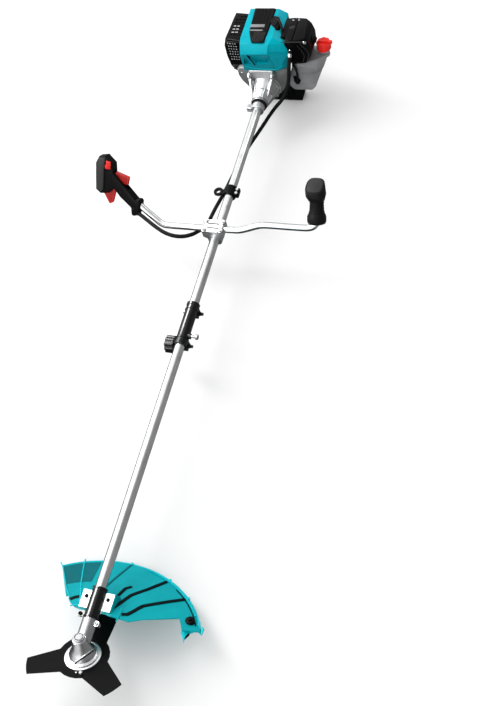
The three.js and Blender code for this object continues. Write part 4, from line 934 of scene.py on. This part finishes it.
def air_filter():
    tray = slab([(79, 120, 66, 150), (79, 216, 66, 152), (104, 120, 62, 153), (104, 216, 62, 153)], 3, 3)
    tray = carved(tray, block((84, 110), (125, 211), (68, 146)), rod(9.4, (70, 167, 91), (90, 167, 91)),
                  rod(9, (92, 177, 149), (92, 177, 160)))
    roof = carved(block((65, 82), (136, 216), (124, 151), 3), block((70, 90), (150, 184), (76, 110)))
    piece("filter_case", [tray, roof], ENGINE, BLACK, replaces=["air_filter_case"])
    grooves = (block((x - 1.3, x + 1.3), (100, 124.6 + (x - 110) * 0.14), (70, 140)) for x in (112, 120, 128))
    shell = carved(hull(filter_corners(0), 5, 3), hull(filter_corners(3)),
                   block((90, 112), (124, 212), (67, 147)), *grooves)
    piece("filter_cover", shell, ENGINE, BLACK, replaces=["air_filter_cover"], smooth=28)
    marks = (block((x - 3, x + 3), (y - 1.6, y + 1.6), (152, 154), 0.8) for x, y in ((90, 203), (107, 204)))
    piece("filter_clips", marks, ENGINE, STEEL)
    dial = lathe([(0, 149), (8.6, 149), (8.6, 151), (6, 151.8), (5, 150.4), (0, 150.4)], 40, moved(92, 177))
    piece("filter_dial", dial, ENGINE, GREY_BLACK_AND_EDGE_HIGHLIGHT)
    # painted highlight: a grey rod along the filter cover's top front edge
    bar = tube([(72, 117.6, 147), (104, 117.6, 147.5), (134, 121, 145)], 1.7, 10, 0.3)
    piece("filter_rod", bar, ENGINE, GREY_BLACK_AND_EDGE_HIGHLIGHT)
    piece("filter_screw", placed(screw(5, 3.4), (138, 127, 138), (140, 124, 140)), ENGINE, STEEL)
    creases = [tube([(126, 121.6, 138), (143, 128.4, 96), (136, 123.6, 68)], 1.4, 8, 0.3),
               tube([(118, 120.6, 132), (131, 122.6, 92), (124, 121.2, 70)], 1.2, 8, 0.3)]
    piece("filter_creases", creases, ENGINE, GREY_BLACK_AND_EDGE_HIGHLIGHT)
    knob = joined(lathe([(0, 0), (11, 0), (11, 6), (9, 8), (0, 8)], 36),
                  block((-9, 9), (-1.6, 1.6), (7, 12), 0.8))
    piece("filter_knob", placed(knob, (150, 168, 112), (152, 168, 112)), ENGINE, BLACK)


def tank_corners(d):
    return [(86 + d, 142, d - 62), (114 - d, 142, d - 62), (86 + d, 202, d - 62), (116 - d, 202, d - 62),
            (72 + d, 132 + d, d - 54), (132 - d, 132 + d, d - 54), (72 + d, 210 - d, d - 54),
            (135 - d, 210 - d, d - 54), (66 + d, 125 + d, -34), (145 - d, 127 + d, -36),
            (64 + d, 216 - d, -34), (149 - d, 215 - d, -36), (66 + d, 122 + d, -10), (148 - d, 126 + d, -14),
            (62 + d, 218 - d, -10), (152 - d, 216 - d, -14), (82 + d, 120 + d, 34 - d),
            (158 - d, 132 + d, 34 - d), (76 + d, 216 - d, 34 - d), (169 - d, 214 - d, 34 - d),
            (90 + d, 128 + d, 54 - d), (164, 150 + d, 54 - d), (84 + d, 212 - d, 54 - d),
            (186 - d, 206 - d, 54 - d), (188 - d, 172, 54 - d)]


FILLER = Matrix.Translation((174, 186, 0))


def fuel_tank():
    skin = hull(tank_corners(0), 13, 5)
    neck = lathe([(12, 40), (15, 40), (15, 60), (17.2, 61), (17.2, 64), (15, 65), (15, 80), (12, 80)],
                 48, FILLER)
    piece("tank_shell", [skin, neck], ENGINE, TANK, replaces=["fuel_tank"], smooth=60)
    swollen = hull(tank_corners(-1.3), 9, 3)
    lip = hull([tuple(v.co) for v in swollen.verts])
    swollen.free()
    seam = carved(lip, block((0, 300), (0, 300), (17, 20)), mode="INTERSECT")
    piece("tank_seam", seam, ENGINE, TANK)
    ring = lathe([(19.6, 66), (21.6, 66), (21.8, 69), (21.2, 70)], 56, FILLER)
    piece("cap_ring", ring, ENGINE, RED, "cap")
    face = lathe([(0, 88), (16.5, 88), (17.5, 88.8), (15.5, 89.6), (13, 88.6), (0, 88.6)], 48, FILLER)
    grip = block((160, 188), (183.4, 188.6), (88, 93.6), 1.6, 3)
    piece("cap_face", [face, grip], ENGINE, RED, "cap")
    hose = tube([(88, 121, 58), (96, 118.6, 50), (99, 117.6, 30), (97, 117.4, 6), (91, 119, -10),
                 (88, 124, -20)], 3.3, 12, 0.3)
    piece("fuel_hose", hose, ENGINE, RUBBER)
    strap = hull([(84, 119, 14), (98, 118, 12), (104, 119.4, -6), (96, 120, -22), (82, 121, -12),
                  (84, 122.6, 14), (98, 122, 12), (104, 123, -6), (96, 123.4, -22), (82, 124, -12)], 1)
    piece("tank_bracket", strap, ENGINE, BLACK)


def spoke(outline, half, angle):
    """The corners of a flat web that stands out from the crank's axis: the outline lists (radius, y)."""
    c, s = math.cos(angle), math.sin(angle)
    return [(r * c - w * s, y, r * s + w * c) for r, y in outline for w in (-half, half)]


def engine_front():
    cone = lathe([(16, 14), (22.4, 14), (23.6, 15.2), (25.4, 22), (30.8, 44), (31.6, 45), (32.4, 47),
                  (38.6, 70), (43.6, 82), (47.6, 84), (48.6, 86), (48.6, 97), (38, 97), (38, 76), (22, 38),
                  (16, 34)], 80, ALONG)
    brow = hull([(-30, 79, 38), (30, 79, 38), (-25, 78, 44), (25, 78, 44), (-38, 84, 66), (38, 84, 66),
                 (-30, 97, 38), (30, 97, 38), (-38, 97, 68), (38, 97, 68), (0, 79, 49)], 2, 3)
    parts = [cone, brow]
    strut = [(32, 72, 55), (40, 72, 55), (34, 94, 40), (42, 94, 48), (22, 32, 14), (25.5, 32, 16),
             (25, 34, 8), (28, 36, 10)]
    flank = [(x, y, z) for x, y in ((20, 20), (27, 20), (36, 90), (50, 92)) for z in (-2.4, 2.4)]
    for side in (-1, 1):
        parts.append(rod(6.6, (side * 36, 70, 55), (side * 36, 96, 57), 28, 1.4))
        parts.append(hull([(side * x, y, z) for x, y, z in strut], 1.2))
        parts.append(hull([(side * x, y, z) for x, y, z in flank], 0.8))
    fin = [(23, 18), (29, 44), (38, 78), (26.8, 18), (33.6, 46), (46.5, 84)]
    for degrees in (62, 118, 215, 240, 300, 325):
        parts.append(hull(spoke(fin, 1.5, math.radians(degrees)), 0.6))
    piece("bell_housing", parts, ENGINE, CAST, replaces=["clutch_housing"])
    rings = (lathe([(r0, y), (r1, y + 0.6), (r1, y + 2.6), (r0, y + 3.2)], 64, ALONG)
             for r0, r1, y in ((22.6, 25.8, 15), (29.4, 33.0, 44), (42.6, 45.8, 79)))
    piece("housing_rings", rings, ENGINE, CAST)
    # painted shade: dark rings in the gaps under the raised rings
    gaps = (lathe([(r - 1.4, y), (r, y), (r + 0.3, y + 0.9), (r - 1, y + 0.9)], 64, ALONG)
            for r, y in ((25.4, 18.6), (32.8, 47.6), (45.8, 82.6)))
    piece("housing_gaps", gaps, ENGINE, BLACK_STEEL_AND_GAP_SHADE)
    heads = screws(4.6, 4.4, [(-36, 70, 55), (36, 70, 55), (-33, 84, -33), (33, 84, -33)], (0, -1, 0))
    numbered("housing_screw", heads, ENGINE, STEEL)
    piece("neck_bolt", through_bolt(-26, -3.5, 7, 3.8), ENGINE, STEEL)
    heads = screws(4.2, 3.6, [(-66, 97, 46), (-40, 97, -30), (40, 97, -30)], (0, -1, 0))
    numbered("fan_screw", heads, ENGINE, STEEL)
    edge = tube([(x, 102, z) for x, z in ((-60, 30), (-62, 18), (-54, 0), (-42, -20))], 1.8, 8, 0.3)
    piece("fan_housing_bead", edge, ENGINE, GREY_CASTING_AND_SHADE)


ROPE_X, ROPE_Y, ROPE_FOOT, ROPE_TOP = -0.038, 0.041, 0.193, 0.223
ROPE_RADIUS, STRAND_HEIGHT, STRANDS = 0.00165, 0.00022, 3


def starter_rope():
    """The laid rope from the eye in the housing up to the handle, in metres in the row frame."""
    bm = bmesh.new()
    rings = []
    for i in range(61):
        z = ROPE_FOOT + (ROPE_TOP - ROPE_FOOT) * i / 60
        ring = []
        for k in range(24):
            a = math.tau * k / 24
            r = ROPE_RADIUS + STRAND_HEIGHT * math.cos(STRANDS * a + 0.42 * i)
            ring.append(bm.verts.new((ROPE_X + r * math.cos(a), ROPE_Y + r * math.sin(a), z)))
        rings.append(ring)
    rope = piece("pull_cord", skinned(bm, rings), Matrix.Identity(4), CORD, None, ["starter_rope"])
    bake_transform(rope)


def engine_rear():
    hub = lathe([(0, 268), (14, 268), (14, 272.4), (11, 274.6), (0, 274.6)], 48, ALONG)
    piece("starter_hub", hub, ENGINE, BLACK)
    web = [(14, 271), (14, 273.4), (48, 271), (48, 272.8)]
    spokes = (hull(spoke(web, 2, math.pi * i / 3), 0.7) for i in range(6))
    piece("starter_spokes", spokes, ENGINE, GREY_BLACK_AND_EDGE_HIGHLIGHT)
    turns = [math.radians(45 + 90 * i) for i in range(4)]
    corners = [(54 * math.cos(a), 269, 54 * math.sin(a)) for a in turns]
    numbered("starter_screw", screws(3.6, 3, corners, (0, 1, 0)), ENGINE, STEEL)
    grooves = (block((x - 1.2, x + 1.2), (238, 255), (57.4, 74.6), 0.6) for x in (-58, -50, -26, -18))
    piece("handle_grooves", grooves, ENGINE, GREY_BLACK_AND_EDGE_HIGHLIGHT, "starter_grip")
    ribs = (block((x - 2, x + 2), (184.8, 190), (-150, -118), 0.8) for x in (-44, -22, 0, 22, 44))
    piece("stand_ribs", ribs, ENGINE, BLACK)


shaft_pieces()
guard_pieces()
head_pieces()
grip_pieces()
plain_grip()
top_cover()
plug_cover()
muffler_cover()
air_filter()
fuel_tank()
engine_front()
engine_rear()
starter_rope()


# ---- floor, light and camera ----
CAMERA_AT = (0.9385, -2.1811, 2.2087)
CAMERA_RIGHT, CAMERA_UP = Vector((0.9467, 0.2455, -0.2086)), Vector((-0.1088, 0.8531, 0.5103))


def area(name, at, target, size, power):
    light = bpy.data.lights.new(name, "AREA")
    light.shape, light.size, light.size_y = "RECTANGLE", size[0], size[1]
    light.energy = power
    o = put(name, light)
    o.location = at
    way = Vector(target) - Vector(at)
    o.rotation_mode = "QUATERNION"
    o.rotation_quaternion = way.to_track_quat("-Z", "Y")
    return o


def studio():
    bm = bmesh.new()
    bmesh.ops.create_grid(bm, x_segments=4, y_segments=4, size=60.0)
    floor_mesh = bpy.data.meshes.new("floor")
    bm.to_mesh(floor_mesh)
    bm.free()
    floor_mesh.materials.append(floor_material())
    floor = put("floor", floor_mesh)
    floor.location = (0, -0.9, cad_box[0].z)
    floor.visible_glossy = False

    bpy.context.scene.view_settings.view_transform = "Standard"
    world = bpy.data.worlds.new("studio")
    bpy.context.scene.world = world
    world.use_nodes = True
    tree = world.node_tree
    add, wire = tree.nodes.new, tree.links.new
    # the sky is bright above the horizon and dim towards +X, while the camera sees it plain white
    turn = add("ShaderNodeMapping")
    turn.vector_type = "TEXTURE"
    turn.inputs["Location"].default_value = (-1, -1, -1)
    turn.inputs["Scale"].default_value = (2, 2, 2)
    axis = add("ShaderNodeSeparateXYZ")
    wire(add("ShaderNodeTexCoord").outputs["Generated"], turn.inputs["Vector"])
    wire(turn.outputs[0], axis.inputs[0])
    both, seen = add("ShaderNodeMix"), add("ShaderNodeMix")
    for mix, grey in ((both, 0.25), (seen, 0.75)):
        mix.data_type = "RGBA"
        mix.inputs[7].default_value = (grey, grey, grey, 1)
    for side, slot, stops in (("X", 0, ((0.60, 0.0), (0.74, 1.0))), ("Z", 6, ((0.42, 0.05), (0.47, 1.0)))):
        ramp = add("ShaderNodeValToRGB")
        for element, (at, value) in zip(ramp.color_ramp.elements, stops):
            element.position, element.color = at, (value, value, value, 1)
        wire(axis.outputs[side], ramp.inputs[0])
        wire(ramp.outputs[0], both.inputs[slot])
    wire(add("ShaderNodeLightPath").outputs["Is Camera Ray"], seen.inputs[0])
    wire(both.outputs[2], seen.inputs[6])
    back = tree.nodes["Background"]
    wire(seen.outputs[2], back.inputs["Color"])
    back.inputs["Strength"].default_value = 1.4

    area("key", (-2.3, -0.1, 2.6), (0, -0.9, 0.1), (0.9, 4.2), 85)
    area("front", (-0.6, -4.2, 2.2), (0, -1.0, 0.1), (2.5, 1.2), 22)
    area("rear", (1.4, 2.6, 2.4), (0, 0, 0.2), (2.0, 1.2), 20)
    # bright bands off to one side, which the two black clamps mirror and nothing matt shows
    for name, y, degrees in (("coupler_stripe", 0.08, -16.4), ("saddle_stripe", -1.39, -6.2)):
        stripe = area(name, (-1.2, y, 1.55), (-1.2, y, 0), (1.2, 0.28), 42)
        stripe.rotation_quaternion = Matrix.Rotation(math.radians(degrees), 3, "Z").to_quaternion()
        stripe.visible_diffuse = False

    data = bpy.data.cameras.new("camera")
    data.lens, data.sensor_width = 49.2, 36
    camera = put("camera", data)
    right = CAMERA_RIGHT.normalized()
    back_way = right.cross(CAMERA_UP).normalized()
    axes = Matrix((right, back_way.cross(right), back_way)).transposed().to_4x4()
    camera.matrix_world = Matrix.Translation(CAMERA_AT) @ axes
    bpy.context.scene.camera = camera


studio()
